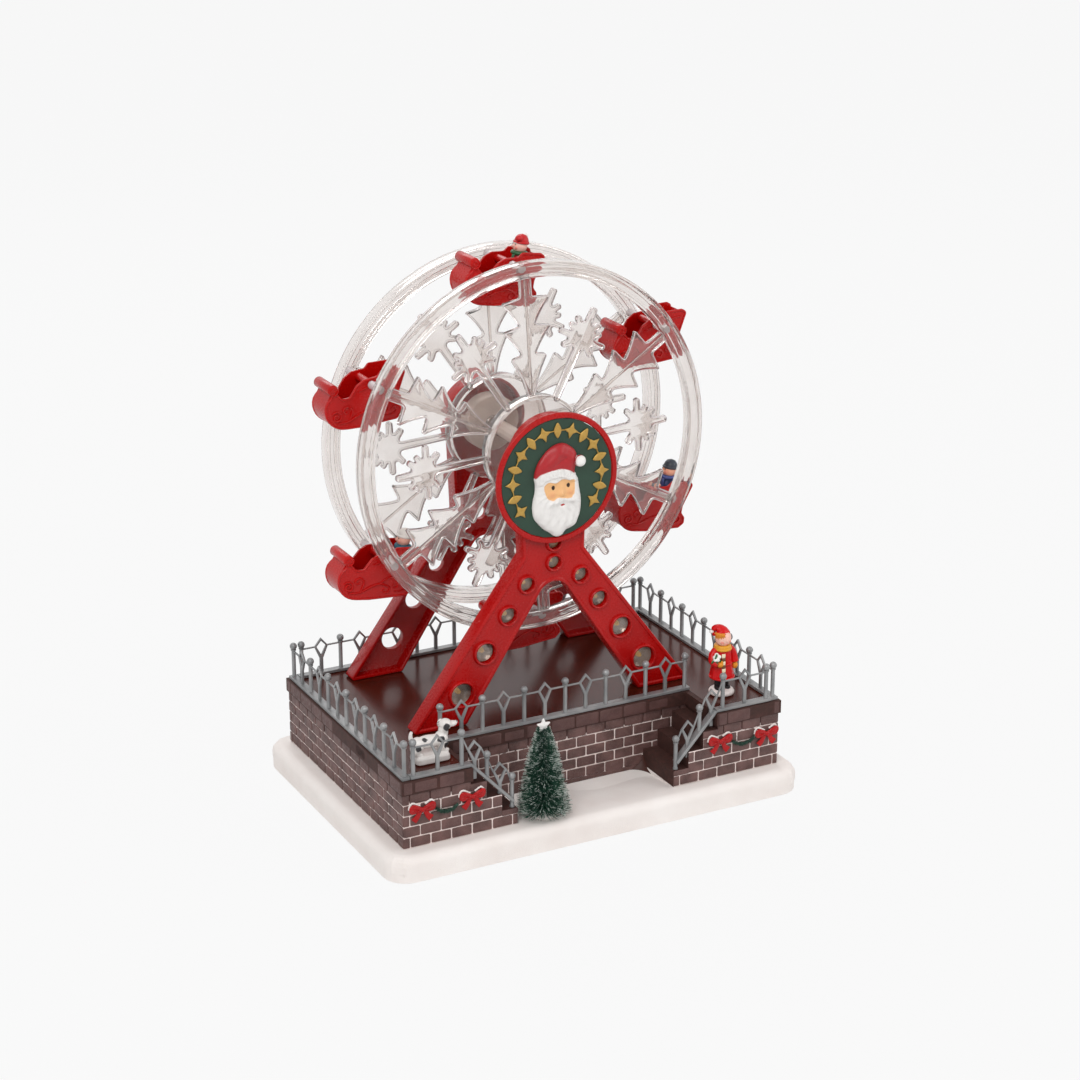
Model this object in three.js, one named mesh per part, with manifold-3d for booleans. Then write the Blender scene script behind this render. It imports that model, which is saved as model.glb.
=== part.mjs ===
// Musical ferris wheel: a table-top Christmas ornament with a motor-driven wheel of six sleighs.
// Millimetres, +Z up, +X to the right of the front, +Y to the back; the origin is the
// bottom centre of the snow base.
import * as THREE from 'three';
import { mergeVertices } from 'three/addons/utils/BufferGeometryUtils.js';
import Module from 'manifold-3d';

const wasm = await Module();
wasm.setup();

// Driving dimensions of the wheel
const sleigh_width = 20.8;
const sleigh_room_aside = 15.7;
const rim_outer_radius = 117.5;
const rim_width = 9.6;
const rim_depth = 7.4;
const wheel_clearance = 45;
const pivot_inset = 4.9;
const pivot_phase = THREE.MathUtils.degToRad(33.5);
const sleigh_count = 6;
const disc_spread = sleigh_width / 2 + sleigh_room_aside;
const pivot_radius = rim_outer_radius - pivot_inset;
const wheel_height = rim_outer_radius + wheel_clearance;

// Driving dimensions of the two standing frames
const frame_clearance = 26.8;
const frame_depth = 11;
const frame_wall = 2;
const frame_spread = disc_spread + frame_clearance;

// Driving dimensions of the base; its depth follows from the frames that stand on it
const plinth_width = 260;
const recess_depth = 39;
const deck_front_margin = 17.1;
const deck_back_margin = 13.1;
const brick_height = 44;
const snow_thickness = 16.2;
const snow_overhang = 12.5;
const pad_proud = 0.8;
const plinth_depth = recess_depth + deck_front_margin + 2 * frame_spread + deck_back_margin;
const deck_z = pad_proud + snow_thickness + brick_height;
const wheel_y = plinth_depth / 2 - deck_back_margin - frame_spread;
const wheel_z = deck_z + wheel_height;

// Clearances and overruns
const seat_gap = 0.3;
const running_gap = 0.4;
const cut_overrun = 1;
const weld_distance = 1e-4;

// Facets of round shapes
const fine_sides = 26;
const round_sides = 12;
const small_sides = 8;
const tiny_sides = 6;
const square_sides = 4;
const corner_steps = 3;

// Finishes: colour, roughness, metalness
const finish = {
  snow: new THREE.MeshStandardMaterial({ color: 0xe9e3df, roughness: 0.55, metalness: 0 }),
  brick: new THREE.MeshStandardMaterial({ color: 0x5f4646, roughness: 0.6, metalness: 0 }),
  deck: new THREE.MeshStandardMaterial({ color: 0x3a1c17, roughness: 0.12, metalness: 0 }),
  fence: new THREE.MeshStandardMaterial({ color: 0x8f9291, roughness: 0.35, metalness: 0.3 }),
  red: new THREE.MeshStandardMaterial({ color: 0xa81416, roughness: 0.25, metalness: 0 }),
  clear: new THREE.MeshStandardMaterial({ color: 0xd8d2d0, roughness: 0.08, metalness: 0 }),
  green: new THREE.MeshStandardMaterial({ color: 0x2d4b3c, roughness: 0.5, metalness: 0 }),
  gold: new THREE.MeshStandardMaterial({ color: 0xb08a42, roughness: 0.35, metalness: 0.5 }),
  white: new THREE.MeshStandardMaterial({ color: 0xf0eeea, roughness: 0.45, metalness: 0 }),
  cream: new THREE.MeshStandardMaterial({ color: 0xc9b99a, roughness: 0.45, metalness: 0 }),
  steel: new THREE.MeshStandardMaterial({ color: 0xa9abad, roughness: 0.3, metalness: 0.9 }),
  black: new THREE.MeshStandardMaterial({ color: 0x1b1b1d, roughness: 0.5, metalness: 0 }),
  board: new THREE.MeshStandardMaterial({ color: 0x1f5a35, roughness: 0.5, metalness: 0 }),
  lamp: new THREE.MeshStandardMaterial({ color: 0xf4dc9a, roughness: 0.2, metalness: 0 }),
  pine: new THREE.MeshStandardMaterial({ color: 0x1d3b2a, roughness: 0.8, metalness: 0 }),
  brass: new THREE.MeshStandardMaterial({ color: 0xb89a4e, roughness: 0.3, metalness: 0.9 }),
};

// Solids and booleans

function solid_of(geometry) {
  const bare = geometry.index ? geometry.toNonIndexed() : geometry.clone();
  for (const name of ['normal', 'uv']) if (bare.attributes[name]) bare.deleteAttribute(name);
  const merged = mergeVertices(bare, weld_distance);
  const points = merged.attributes.position.array;
  const index = Array.from(merged.index.array);
  const corner = (at) => new THREE.Vector3().fromArray(points, 3 * index[at]);
  const triangles = [];
  let volume = 0;
  for (let at = 0; at < index.length; at += 3) {
    volume += corner(at).dot(corner(at + 1).cross(corner(at + 2)));
    triangles.push(at);
  }
  const faces = triangles.flatMap((at) => (volume > 0 ? [index[at], index[at + 1], index[at + 2]]
    : [index[at], index[at + 2], index[at + 1]]));
  return new wasm.Manifold(new wasm.Mesh({
    numProp: 3,
    vertProperties: new Float32Array(points),
    triVerts: new Uint32Array(faces),
  }));
}

function geometry_of(solid) {
  const mesh = solid.getMesh();
  const geometry = new THREE.BufferGeometry();
  geometry.setAttribute('position', new THREE.BufferAttribute(Float32Array.from(mesh.vertProperties), 3));
  geometry.setIndex(new THREE.BufferAttribute(Uint32Array.from(mesh.triVerts), 1));
  return geometry;
}

function joined(...parts) {
  return parts.flat().map((part) => (part.isBufferGeometry ? solid_of(part) : part))
    .reduce((sum, part) => sum.add(part));
}

function cut(body, ...tools) {
  const start = body.isBufferGeometry ? solid_of(body) : body;
  return start.subtract(joined(tools));
}

// Placing: every helper below returns a geometry in the object's own frame

function moved(geometry, x, y, z) {
  return geometry.clone().translate(x, y, z);
}

function turned(geometry, axis, angle) {
  const turn = new THREE.Matrix4().makeRotationAxis(new THREE.Vector3(...axis), angle);
  return geometry.clone().applyMatrix4(turn);
}

// A box from its middle in X and Y and its bottom in Z
function block(width, depth, height, x, y, z) {
  return moved(new THREE.BoxGeometry(width, depth, height), x, y, z + height / 2);
}

function polygon(points) {
  return new THREE.Shape(points.map(([across, up]) => new THREE.Vector2(across, up)));
}

// An outline in X and Z, thickened along Y from y0 to y1
function plate(points, y0, y1, holes = []) {
  const shape = polygon(points);
  for (const hole of holes) shape.holes.push(polygon(hole));
  const raw = new THREE.ExtrudeGeometry(shape, { depth: y1 - y0, bevelEnabled: false });
  return raw.rotateX(Math.PI / 2).translate(0, y1, 0);
}

// An outline in X and Y, thickened along Z from z0 to z1
function slab(points, z0, z1, holes = []) {
  const shape = polygon(points);
  for (const hole of holes) shape.holes.push(polygon(hole));
  const raw = new THREE.ExtrudeGeometry(shape, { depth: z1 - z0, bevelEnabled: false });
  return raw.translate(0, 0, z0);
}

// A profile of [radius, height] turned round the Z axis
function turned_up(profile, sides, x, y, z) {
  const points = profile.map(([radius, height]) => new THREE.Vector2(radius, height));
  const raw = new THREE.LatheGeometry(points, sides);
  return raw.rotateX(Math.PI / 2).translate(x, y, z);
}

// A profile of [radius, depth] turned round the Y axis; depth grows towards the back
function turned_back(profile, sides, x, y, z) {
  const points = profile.map(([radius, depth]) => new THREE.Vector2(radius, depth));
  return new THREE.LatheGeometry(points, sides).translate(x, y, z);
}

// A closed ring profile, first point repeated so that it closes on itself
function ring(profile) {
  return [...profile, profile[0]];
}

// A round bar along Y from y0 to y1
function bar_back(radius, y0, y1, x, z, sides) {
  return turned_back([[0, y0], [radius, y0], [radius, y1], [0, y1]], sides, x, 0, z);
}

function tube_back(outer, inner, y0, y1, x, z, sides) {
  return turned_back(ring([[inner, y0], [outer, y0], [outer, y1], [inner, y1]]), sides, x, 0, z);
}

function bar_up(radius, z0, z1, x, y, sides) {
  return turned_up([[0, z0], [radius, z0], [radius, z1], [0, z1]], sides, x, y, 0);
}

function ball(radius, x, y, z, sides, rings) {
  return moved(new THREE.SphereGeometry(radius, sides, rings), x, y, z);
}

function egg(rx, ry, rz, x, y, z, sides, rings) {
  return new THREE.SphereGeometry(1, sides, rings).scale(rx, ry, rz).translate(x, y, z);
}

// Outline points: corners given as [x, y, fillet radius] become arcs of a few chords
function filleted(corners, steps) {
  const out = [];
  corners.forEach(([x, y, radius = 0], index) => {
    if (radius <= 0) {
      out.push([x, y]);
      return;
    }
    const corner = new THREE.Vector2(x, y);
    const before = corners[(index + corners.length - 1) % corners.length];
    const after = corners[(index + 1) % corners.length];
    const back = new THREE.Vector2(before[0], before[1]).sub(corner);
    const on = new THREE.Vector2(after[0], after[1]).sub(corner);
    const half = Math.acos(THREE.MathUtils.clamp(back.dot(on) / back.length() / on.length(), -1, 1)) / 2;
    const room = Math.min(back.length(), on.length()) / 2;
    const reach = Math.min(radius / Math.tan(half), room);
    const start = corner.clone().addScaledVector(back.normalize(), reach);
    const end = corner.clone().addScaledVector(on.normalize(), reach);
    for (let step = 0; step <= steps; step += 1) {
      const t = step / steps;
      const p = start.clone().multiplyScalar((1 - t) ** 2)
        .addScaledVector(corner, 2 * t * (1 - t)).addScaledVector(end, t ** 2);
      out.push([p.x, p.y]);
    }
  });
  return out;
}

// The outline moved inwards by a wall; corners run anticlockwise
function inset(points, wall) {
  return points.map((point, index) => {
    const here = new THREE.Vector2(...point);
    const before = new THREE.Vector2(...points[(index + points.length - 1) % points.length]);
    const after = new THREE.Vector2(...points[(index + 1) % points.length]);
    const first = here.clone().sub(before).normalize();
    const second = after.clone().sub(here).normalize();
    const normal = new THREE.Vector2(-first.y - second.y, first.x + second.x).normalize();
    const stretch = Math.max(normal.x * -first.y + normal.y * first.x, Number.EPSILON);
    return [here.x + normal.x * wall / stretch, here.y + normal.y * wall / stretch];
  });
}

function arc(cx, cy, radius, from, to, steps) {
  return Array.from({ length: steps + 1 }, (_, step) => {
    const angle = from + (to - from) * step / steps;
    return [cx + radius * Math.cos(angle), cy + radius * Math.sin(angle)];
  });
}

function rectangle(width, depth, radius, steps) {
  return filleted([[-width / 2, -depth / 2, radius], [width / 2, -depth / 2, radius],
    [width / 2, depth / 2, radius], [-width / 2, depth / 2, radius]], steps);
}

const object = new THREE.Group();

function add(name, shape, material) {
  const geometry = shape.isBufferGeometry ? shape : geometry_of(shape);
  const mesh = new THREE.Mesh(geometry, material.clone());
  mesh.name = name;
  object.add(mesh);
  return mesh;
}

// Snow base: a white moulded tray with round edges, a hollow in the front recess, four feet,
// the battery opening with its door rails, and the slots over the loudspeaker

const tower_width = 44.2;
const step_run = 10.4;
const step_rise = 11.1;
const step_count = 3;
const snow_top = pad_proud + snow_thickness;
const snow_round = 6;
const snow_corner = 9;
const tray_floor = 5;
const tray_wall = 7;
const floor_top = pad_proud + tray_floor;
const recess_half = plinth_width / 2 - tower_width;
const stair_half = recess_half - step_count * step_run;
const recess_back = -plinth_depth / 2 + recess_depth;

// The plan of the brick walls, moved out by a distance
function plan(out) {
  const half = plinth_width / 2;
  const deep = plinth_depth / 2;
  return inset([[-half, -deep], [-recess_half, -deep], [-recess_half, recess_back],
    [recess_half, recess_back], [recess_half, -deep], [half, -deep], [half, deep], [-half, deep]], -out);
}

const hollow_depth = 4.5;

// The snow falls away towards the wall of the recess
function hollow() {
  const half = stair_half - seat_gap;
  const front = -plinth_depth / 2;
  const back = recess_back - seat_gap;
  const above = snow_top + cut_overrun;
  const profile = [[front, snow_top], [back, snow_top - hollow_depth], [back, above], [front, above]];
  return turned(plate(profile, -half, half), [0, 0, 1], Math.PI / 2);
}

const pad_radius = 7;
const pad_recess = 1.2;
const pad_inset = 22;
const cell_radius = 7.1;
const cell_length = 50;
const cell_count = 3;
const cell_pitch = 2 * cell_radius + 1;
const box_wall = 1.6;
const box_end_room = 3;
const box_y = 30;
const box_inner_length = cell_length + 2 * box_end_room;
const box_inner_width = cell_count * cell_pitch;
const box_inner_height = 2 * cell_radius + 1.4;
const door_thickness = 2;
const door_tongue = 1.5;
const door_tongue_height = 1;
const door_travel = 8;
const door_margin = 4;
const grip_count = 4;
const grip_length_share = 1 / 3;
const door_length = box_inner_length + 2 * door_margin;
const door_width = box_inner_width + 2 * door_margin;
const door_recess = pad_proud + door_thickness + 2 * seat_gap;
const door_x = -(door_travel / 2);
const speaker_inset = 46;
const speaker_x = speaker_inset - plinth_width / 2;
const speaker_y = 30;
const speaker_radius = 24;
const slot_count = 5;
const slot_width = 2.6;
const slot_pitch = 7;
const slot_round_share = 0.8;
const boss_radius = 4;
const screw_hole_radius = 1.5;
const screw_head_radius = 2.9;
const screw_head_depth = 2;
const screw_inset_x = 18;
const screw_inset_y = 17.5;
const screw_x = plinth_width / 2 - screw_inset_x;
const screw_y = plinth_depth / 2 - screw_inset_y;
const screw_points = [[-screw_x, -screw_y], [screw_x, -screw_y], [-screw_x, screw_y], [screw_x, screw_y]];

function pad_places() {
  const x = plinth_width / 2 + snow_overhang - pad_inset;
  const y = plinth_depth / 2 + snow_overhang - pad_inset;
  return [[-x, -y], [x, -y], [x, y], [-x, y]];
}

function snow_base() {
  const width = plinth_width + 2 * (snow_overhang - snow_round);
  const depth = plinth_depth + 2 * (snow_overhang - snow_round);
  const outline = rectangle(width, depth, snow_corner, corner_steps);
  const raw = new THREE.ExtrudeGeometry(polygon(outline), {
    depth: snow_thickness - 2 * snow_round, bevelEnabled: true, bevelSize: snow_round,
    bevelThickness: snow_round, bevelSegments: corner_steps });
  const tray = raw.translate(0, 0, pad_proud + snow_round);
  const cavity = slab(plan(-tray_wall), floor_top, snow_top + cut_overrun);
  const feet = pad_places().map(([x, y]) => bar_up(pad_radius, 0, pad_proud + pad_recess, x, y, small_sides));
  const slots = Array.from({ length: slot_count }, (_, index) => {
    const off = (index - (slot_count - 1) / 2) * slot_pitch;
    const half = Math.sqrt(speaker_radius ** 2 - off ** 2) * slot_round_share;
    return block(2 * half, slot_width, tray_floor + 2 * cut_overrun, speaker_x, speaker_y + off,
      pad_proud - cut_overrun);
  });
  const heads = screw_points.map(([x, y]) => turned_up([[0, pad_proud - cut_overrun],
    [screw_head_radius + seat_gap, pad_proud - cut_overrun],
    [screw_head_radius + seat_gap, pad_proud + screw_head_depth],
    [screw_hole_radius + seat_gap, pad_proud + screw_head_depth],
    [screw_hole_radius + seat_gap, floor_top + cut_overrun], [0, floor_top + cut_overrun]], tiny_sides, x, y, 0));
  return cut(joined(tray, ...feet), cavity, hollow(), ...slots, ...heads, ...door_opening());
}

// The recess for the sliding door, its two grooves, and the opening into the battery box
function door_opening() {
  const length = door_length + door_travel + 2 * seat_gap;
  const low = pad_proud - cut_overrun;
  const groove_z = door_recess - door_tongue_height - 2 * seat_gap;
  const middle = door_x + door_travel / 2;
  return [
    block(length, door_width + 2 * seat_gap, door_recess - low, middle, box_y, low),
    block(length, door_width + 2 * (door_tongue + seat_gap), door_recess - groove_z, middle, box_y, groove_z),
    block(box_inner_length, box_inner_width, tray_floor + cut_overrun, door_x, box_y, pad_proud),
  ];
}

// Brick plinth: one hollow moulding with towers, a recessed wall, stairs and a cap course

const brick_wall = 3.6;
const ledge = 1.8;
const deck_thickness = 2;
const cap_height = 8.5;
const cap_proud = 1.3;
const boss_height = deck_z - deck_thickness - floor_top - 2 * seat_gap;

function stair_blocks(side, shrink, z_low) {
  return Array.from({ length: step_count }, (_, index) => {
    const outer = recess_half - index * step_run;
    const top = deck_z - (index + 1) * step_rise;
    const high = top - shrink;
    const width = step_run;
    const shift = shrink > 0 ? shrink : 0;
    return block(width, recess_depth - 2 * shrink + shift, high - z_low,
      side * (outer - width / 2 + shift), -plinth_depth / 2 + recess_depth / 2 + shift / 2, z_low);
  });
}

const switch_inset = 68;
const switch_x = plinth_width / 2 - switch_inset;
const switch_z = 40;
const switch_travel = 6;
const knob_width = 6;
const knob_height = 4.4;
const knob_proud = 2.6;
const knob_groove_width = 0.9;
const knob_groove_depth = 0.65;
const knob_groove_pitch = 1.5;

function brick_plinth() {
  const low = snow_top + seat_gap;
  const outer = slab(plan(0), low, deck_z);
  const cap = slab(plan(cap_proud), deck_z - cap_height, deck_z);
  const stairs = [-1, 1].flatMap((side) => stair_blocks(side, 0, low));
  const cavity = slab(plan(-brick_wall), low - cut_overrun, deck_z + cut_overrun);
  const rebate = slab(plan(-ledge), deck_z - deck_thickness - seat_gap, deck_z + cut_overrun);
  const under_stairs = [-1, 1].flatMap((side) => stair_blocks(side, brick_wall, low - cut_overrun));
  const slot = block(knob_width + switch_travel + 2 * running_gap, brick_wall + 2 * cut_overrun,
    knob_height + 2 * running_gap, switch_x, plinth_depth / 2 - brick_wall / 2,
    switch_z - knob_height / 2 - running_gap);
  return cut(joined(outer, cap, ...stairs), cavity, rebate, ...under_stairs, slot);
}

function deck_plate() {
  const plate_body = slab(plan(-ledge - seat_gap), deck_z - deck_thickness, deck_z);
  const bosses = screw_points.map(([x, y]) => bar_up(boss_radius, deck_z - deck_thickness - boss_height,
    deck_z - deck_thickness / 2, x, y, tiny_sides));
  const holes = screw_points.map(([x, y]) => bar_up(screw_hole_radius + seat_gap,
    floor_top - cut_overrun, floor_top + boss_height / 2, x, y, tiny_sides));
  return cut(joined(plate_body, ...bosses), ...holes);
}

// Battery box, cells, spring contacts and the sliding door

const box_floor = floor_top + seat_gap;
const box_flange = 3;
const box_flange_height = 1.4;
const contact_thickness = 0.8;
const contact_blade = 2.2;

function battery_box() {
  const outer_length = box_inner_length + 2 * box_wall;
  const outer_width = box_inner_width + 2 * box_wall;
  const shell = block(outer_length, outer_width, box_inner_height + box_wall, door_x, box_y, box_floor);
  const flange = block(outer_length + 2 * box_flange, outer_width + 2 * box_flange, box_flange_height,
    door_x, box_y, box_floor);
  const hollow = block(box_inner_length, box_inner_width, box_inner_height + cut_overrun, door_x, box_y,
    box_floor - cut_overrun);
  return cut(joined(shell, flange), hollow);
}

const cell_nub_radius = 2.7;
const cell_nub = 1;
const cell_z = box_floor + cell_radius + seat_gap;

function cell_y(index) {
  return box_y + (index - (cell_count - 1) / 2) * cell_pitch;
}

function battery_cell(index) {
  const half = cell_length / 2;
  const flip = index % 2 === 0 ? 0 : Math.PI;
  const body = turned_up([[0, -half], [cell_radius, -half], [cell_radius, half - cell_nub],
    [cell_nub_radius, half - cell_nub], [cell_nub_radius, half], [0, half]], small_sides, 0, 0, 0);
  return moved(turned(body, [0, 1, 0], Math.PI / 2 + flip), door_x, cell_y(index), cell_z);
}

// A sprung strip at one end of the box, with a blade in front of each cell
function battery_contact(side) {
  const wall = box_inner_length / 2 - seat_gap;
  const height = cell_radius;
  const strip = block(contact_thickness, box_inner_width - cell_radius, height, door_x + side * (wall
    - contact_thickness / 2), box_y, cell_z - height / 2);
  const blades = Array.from({ length: cell_count }, (_, index) => block(contact_blade, contact_blade, height,
    door_x + side * (wall - contact_blade / 2), cell_y(index), cell_z - height / 2));
  return joined(strip, ...blades);
}

function battery_door() {
  const z = pad_proud + seat_gap;
  const panel = block(door_length, door_width, door_thickness, 0, 0, z);
  const tongues = block(door_length, door_width + 2 * door_tongue, door_tongue_height, 0, 0,
    z + door_thickness - door_tongue_height);
  const grips = Array.from({ length: grip_count }, (_, index) => block(door_tongue,
    door_width * grip_length_share, door_tongue_height,
    door_length / 2 - door_margin * (index + 1), 0, z - door_tongue_height / 2));
  return cut(joined(panel, tongues), ...grips);
}

// Loudspeaker, circuit board and slide switch

const speaker_height = 17;
const magnet_radius = 11;
const basket_height = 4;
const board_inset = 52;
const board_x = plinth_width / 2 - board_inset;
const board_y = 25;
const board_width = 46;
const board_depth = 34;
const board_thickness = 1.6;
const standoff_radius = 2.2;
const standoff_height = 6;
const chip_size = 11;
const chip_height = 2.4;

function loudspeaker() {
  return turned_up([[0, 0], [speaker_radius, 0], [speaker_radius, basket_height],
    [magnet_radius, speaker_height - basket_height], [magnet_radius, speaker_height],
    [0, speaker_height]], round_sides,
  speaker_x, speaker_y, floor_top + seat_gap);
}

function circuit_board() {
  const z = floor_top + seat_gap;
  const posts = [-1, 1].flatMap((a) => [-1, 1].map((b) => bar_up(standoff_radius, z, z + standoff_height
    + board_thickness / 2, board_x + a * (board_width / 2 - standoff_radius),
  board_y + b * (board_depth / 2 - standoff_radius), square_sides)));
  const board = block(board_width, board_depth, board_thickness, board_x, board_y, z + standoff_height);
  const chips = [-1, 1].map((side) => block(chip_size, chip_size, chip_height + board_thickness / 2,
    board_x + side * chip_size, board_y, z + standoff_height + board_thickness / 2));
  return joined(board, ...posts, ...chips);
}

const switch_body_width = 20;
const switch_body_depth = 7;
const switch_body_height = 9;
const switch_wall_y = plinth_depth / 2 - brick_wall;

function switch_body() {
  return block(switch_body_width, switch_body_depth, switch_body_height, switch_x,
    switch_wall_y - seat_gap - switch_body_depth / 2, switch_z - switch_body_height / 2);
}

// The knob is drawn about its own middle; it stands at the left end of its slot
function switch_knob() {
  const depth = brick_wall + knob_proud;
  const grooves = [-1, 0, 1].map((step) => block(knob_groove_width, 2 * knob_groove_depth,
    knob_height + 2 * cut_overrun, step * knob_groove_pitch, depth + seat_gap / 2,
    -knob_height / 2 - cut_overrun));
  const bar = block(knob_width, depth, knob_height, 0, depth / 2 + seat_gap / 2, -knob_height / 2);
  return cut(bar, ...grooves);
}

// Fences: flat metal runs of diamond pickets on a base strip, with ball-topped posts

const fence_height = 25;
const fence_base_depth = 5.2;
const fence_base_height = 2;
const fence_plate = 1.6;
const picket_stem = 1.25;
const picket_fork = 11;
const picket_side = 4.7;
const picket_widest = 19.3;
const picket_bar = 1.5;
const fence_rail = 1.2;
const post_radius = 1.35;
const post_ball = 2.35;
const fence_bay = 28.2;
const side_fence_x = plinth_width / 2 - fence_base_depth / 2;
const side_fence_inset = 3.3;
const side_fence_y = plinth_depth / 2 - side_fence_inset;
const centre_fence_y = recess_back + fence_base_depth / 2;
const stair_fence_y = -plinth_depth / 2 + fence_base_depth / 2;
const stair_fence_start_inset = 8;
const stair_fence_brink = 4.5;
const stair_fence_foot = 2.4;
const stair_fence_start = plinth_width / 2 - stair_fence_start_inset;
const stair_fence_level_end = recess_half + stair_fence_brink;
const stair_fence_end = stair_half + stair_fence_foot;
const stair_bays = 2;

// One bay between two post centres: a forked picket whose diamond is tied to the posts by the rail
function fence_panel(bay, foot) {
  const middle = bay / 2;
  const low = picket_widest - fence_rail / 2;
  const high = picket_widest + fence_rail / 2;
  const right = [[picket_stem, foot], [picket_stem, picket_fork], [picket_side, low], [middle, low],
    [middle, high], [picket_side, high], [0, fence_height]];
  const left = right.slice(0, -1).map(([x, z]) => [-x, z]).reverse();
  const hole = [[0, picket_fork + picket_bar], [picket_side - picket_bar, picket_widest],
    [0, fence_height - picket_bar], [picket_bar - picket_side, picket_widest]];
  return moved(plate([...right, ...left], -fence_plate / 2, fence_plate / 2, [hole]), middle, 0, 0);
}

function post(x, foot, top) {
  const neck = top - 2 * post_ball;
  return turned_up([[0, foot], [post_radius, foot], [post_radius, neck], [post_ball, neck + post_ball],
    [0, top]], square_sides, x, 0, 0);
}

function fence_strip(start, end, foot) {
  return block(end - start, fence_base_depth, fence_base_height, (start + end) / 2, 0, foot);
}

function fence_panels(start, bay, bays, foot) {
  return Array.from({ length: bays }, (_, index) => moved(fence_panel(bay, foot), start + bay * index, 0, 0));
}

function level_run(start, end, bays) {
  const bay = (end - start) / bays;
  const posts = Array.from({ length: bays + 1 }, (_, index) => post(start + bay * index, 0, fence_height));
  const strip = fence_strip(start - fence_base_depth / 2, end + fence_base_depth / 2, 0);
  return [strip, ...fence_panels(start, bay, bays, 0), ...posts];
}

function placed_fence(parts, angle, x, y) {
  return joined(...parts.map((part) => moved(turned(part, [0, 0, 1], angle), x, y, deck_z + seat_gap)));
}

function straight_fence(half, angle, x, y) {
  return placed_fence(level_run(-half, half, Math.round(2 * half / fence_bay)), angle, x, y);
}

// A tower run whose rail goes on down the stairs; its strip lies on the nosings of the steps,
// and the end post stands on the last step
function stair_fence(side) {
  const slope = step_rise / step_run;
  const start = -stair_fence_level_end;
  const bay = (stair_fence_level_end - stair_fence_end) / stair_bays;
  const nosing = cap_proud - recess_half;
  const foot = slope * (nosing - start);
  const fall = new THREE.Matrix4().set(1, 0, 0, 0, 0, 1, 0, 0, -slope, 0, 1, slope * start, 0, 0, 0, 1);
  const down = [fence_strip(nosing, -stair_fence_end, foot), ...fence_panels(start, bay, stair_bays, foot)];
  const corner = fence_strip(start, nosing + fence_base_height / 2, 0);
  const drop = (index) => slope * bay * index;
  const middle = post(start + bay, foot - drop(1), fence_height - drop(1));
  const last = post(-stair_fence_end, -step_count * step_rise, fence_height - drop(stair_bays));
  const parts = [...level_run(-stair_fence_start, start, 1), corner, ...down.map((part) => part.clone()
    .applyMatrix4(fall)), middle, last];
  const sided = side < 0 ? parts : parts.map((part) => part.clone().scale(-1, 1, 1));
  return placed_fence(sided, 0, 0, stair_fence_y);
}

// Standing frames: red A-shaped channels, open towards the wheel, with rimmed lamp holes

const foot_outer = 97.5;
const foot_inner = 60.6;
const arch_apex = 92.8;
const arch_round = 11;
const arch_steps = 4;
const head_steps = 13;
const neck_half = 21;
const shoulder_z = 102.7;
const head_radius = 27.3;
const hole_rim = 1.3;
const hole_rim_width = 1.3;
const lamp_holes = [[0, 109, 4.2], [0, 96, 4.2], [18.7, 84.8, 4.6], [31.7, 66.6, 5.2], [47.5, 45, 6.4],
  [63.8, 20.7, 7.4], [-18.7, 84.8, 4.6], [-31.7, 66.6, 5.2], [-47.5, 45, 6.4], [-63.8, 20.7, 7.4]];
const axle_radius = 2;
const bearing_radius = 3.6;
const pillar_radius = 2.2;
const housing_radius = 18;
const housing_wall = 1.7;
const housing_depth = 10.4;
const housing_back = frame_spread - frame_depth - seat_gap;
const housing_front = housing_back - housing_depth;
const gear_module = 0.7;
const gear_teeth = 24;
const pinion_teeth = 8;
const gear_distance = gear_module * (gear_teeth + pinion_teeth) / 2;
const motor_radius = 7;
const motor_collar = 1.4;
const housing_pillars = [90, 210, 330];

function frame_outline() {
  const reach = Math.sqrt(head_radius ** 2 - neck_half ** 2);
  const from = Math.atan2(-reach, neck_half);
  return [...filleted([[-foot_outer, 0], [-foot_inner, 0], [0, arch_apex, arch_round], [foot_inner, 0],
    [foot_outer, 0], [neck_half, shoulder_z]], arch_steps),
  ...arc(0, wheel_height, head_radius, from, Math.PI - from, head_steps), [-neck_half, shoulder_z]];
}

// Drawn with the outer face towards -Y at -frame_spread; the wheel plane is y = 0
function frame_shell() {
  const outline = frame_outline();
  const face = -frame_spread;
  const open = face + frame_depth;
  const body = plate(outline, face, open);
  const room = plate(inset(outline, frame_wall), face + frame_wall, open + cut_overrun);
  const rims = lamp_holes.map(([x, z, radius]) => bar_back(radius + hole_rim_width, face - hole_rim,
    face + frame_wall / 2, x, z, small_sides));
  const bores = lamp_holes.map(([x, z, radius]) => bar_back(radius, face - hole_rim - cut_overrun,
    face + frame_wall + cut_overrun, x, z, small_sides));
  const bearing = bar_back(bearing_radius, face + frame_wall / 2, open, 0, wheel_height, small_sides);
  return cut(joined(cut(body, room), ...rims, bearing), ...bores);
}

function placed_frame(shape) {
  return shape.translate(0, wheel_y, deck_z + seat_gap);
}

function axle_bore(from, to) {
  return bar_back(axle_radius + running_gap, from, to, 0, wheel_height, round_sides);
}

function front_frame() {
  const inner = frame_spread - frame_wall;
  return placed_frame(cut(frame_shell(), axle_bore(-inner, -inner + frame_depth)));
}

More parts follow.
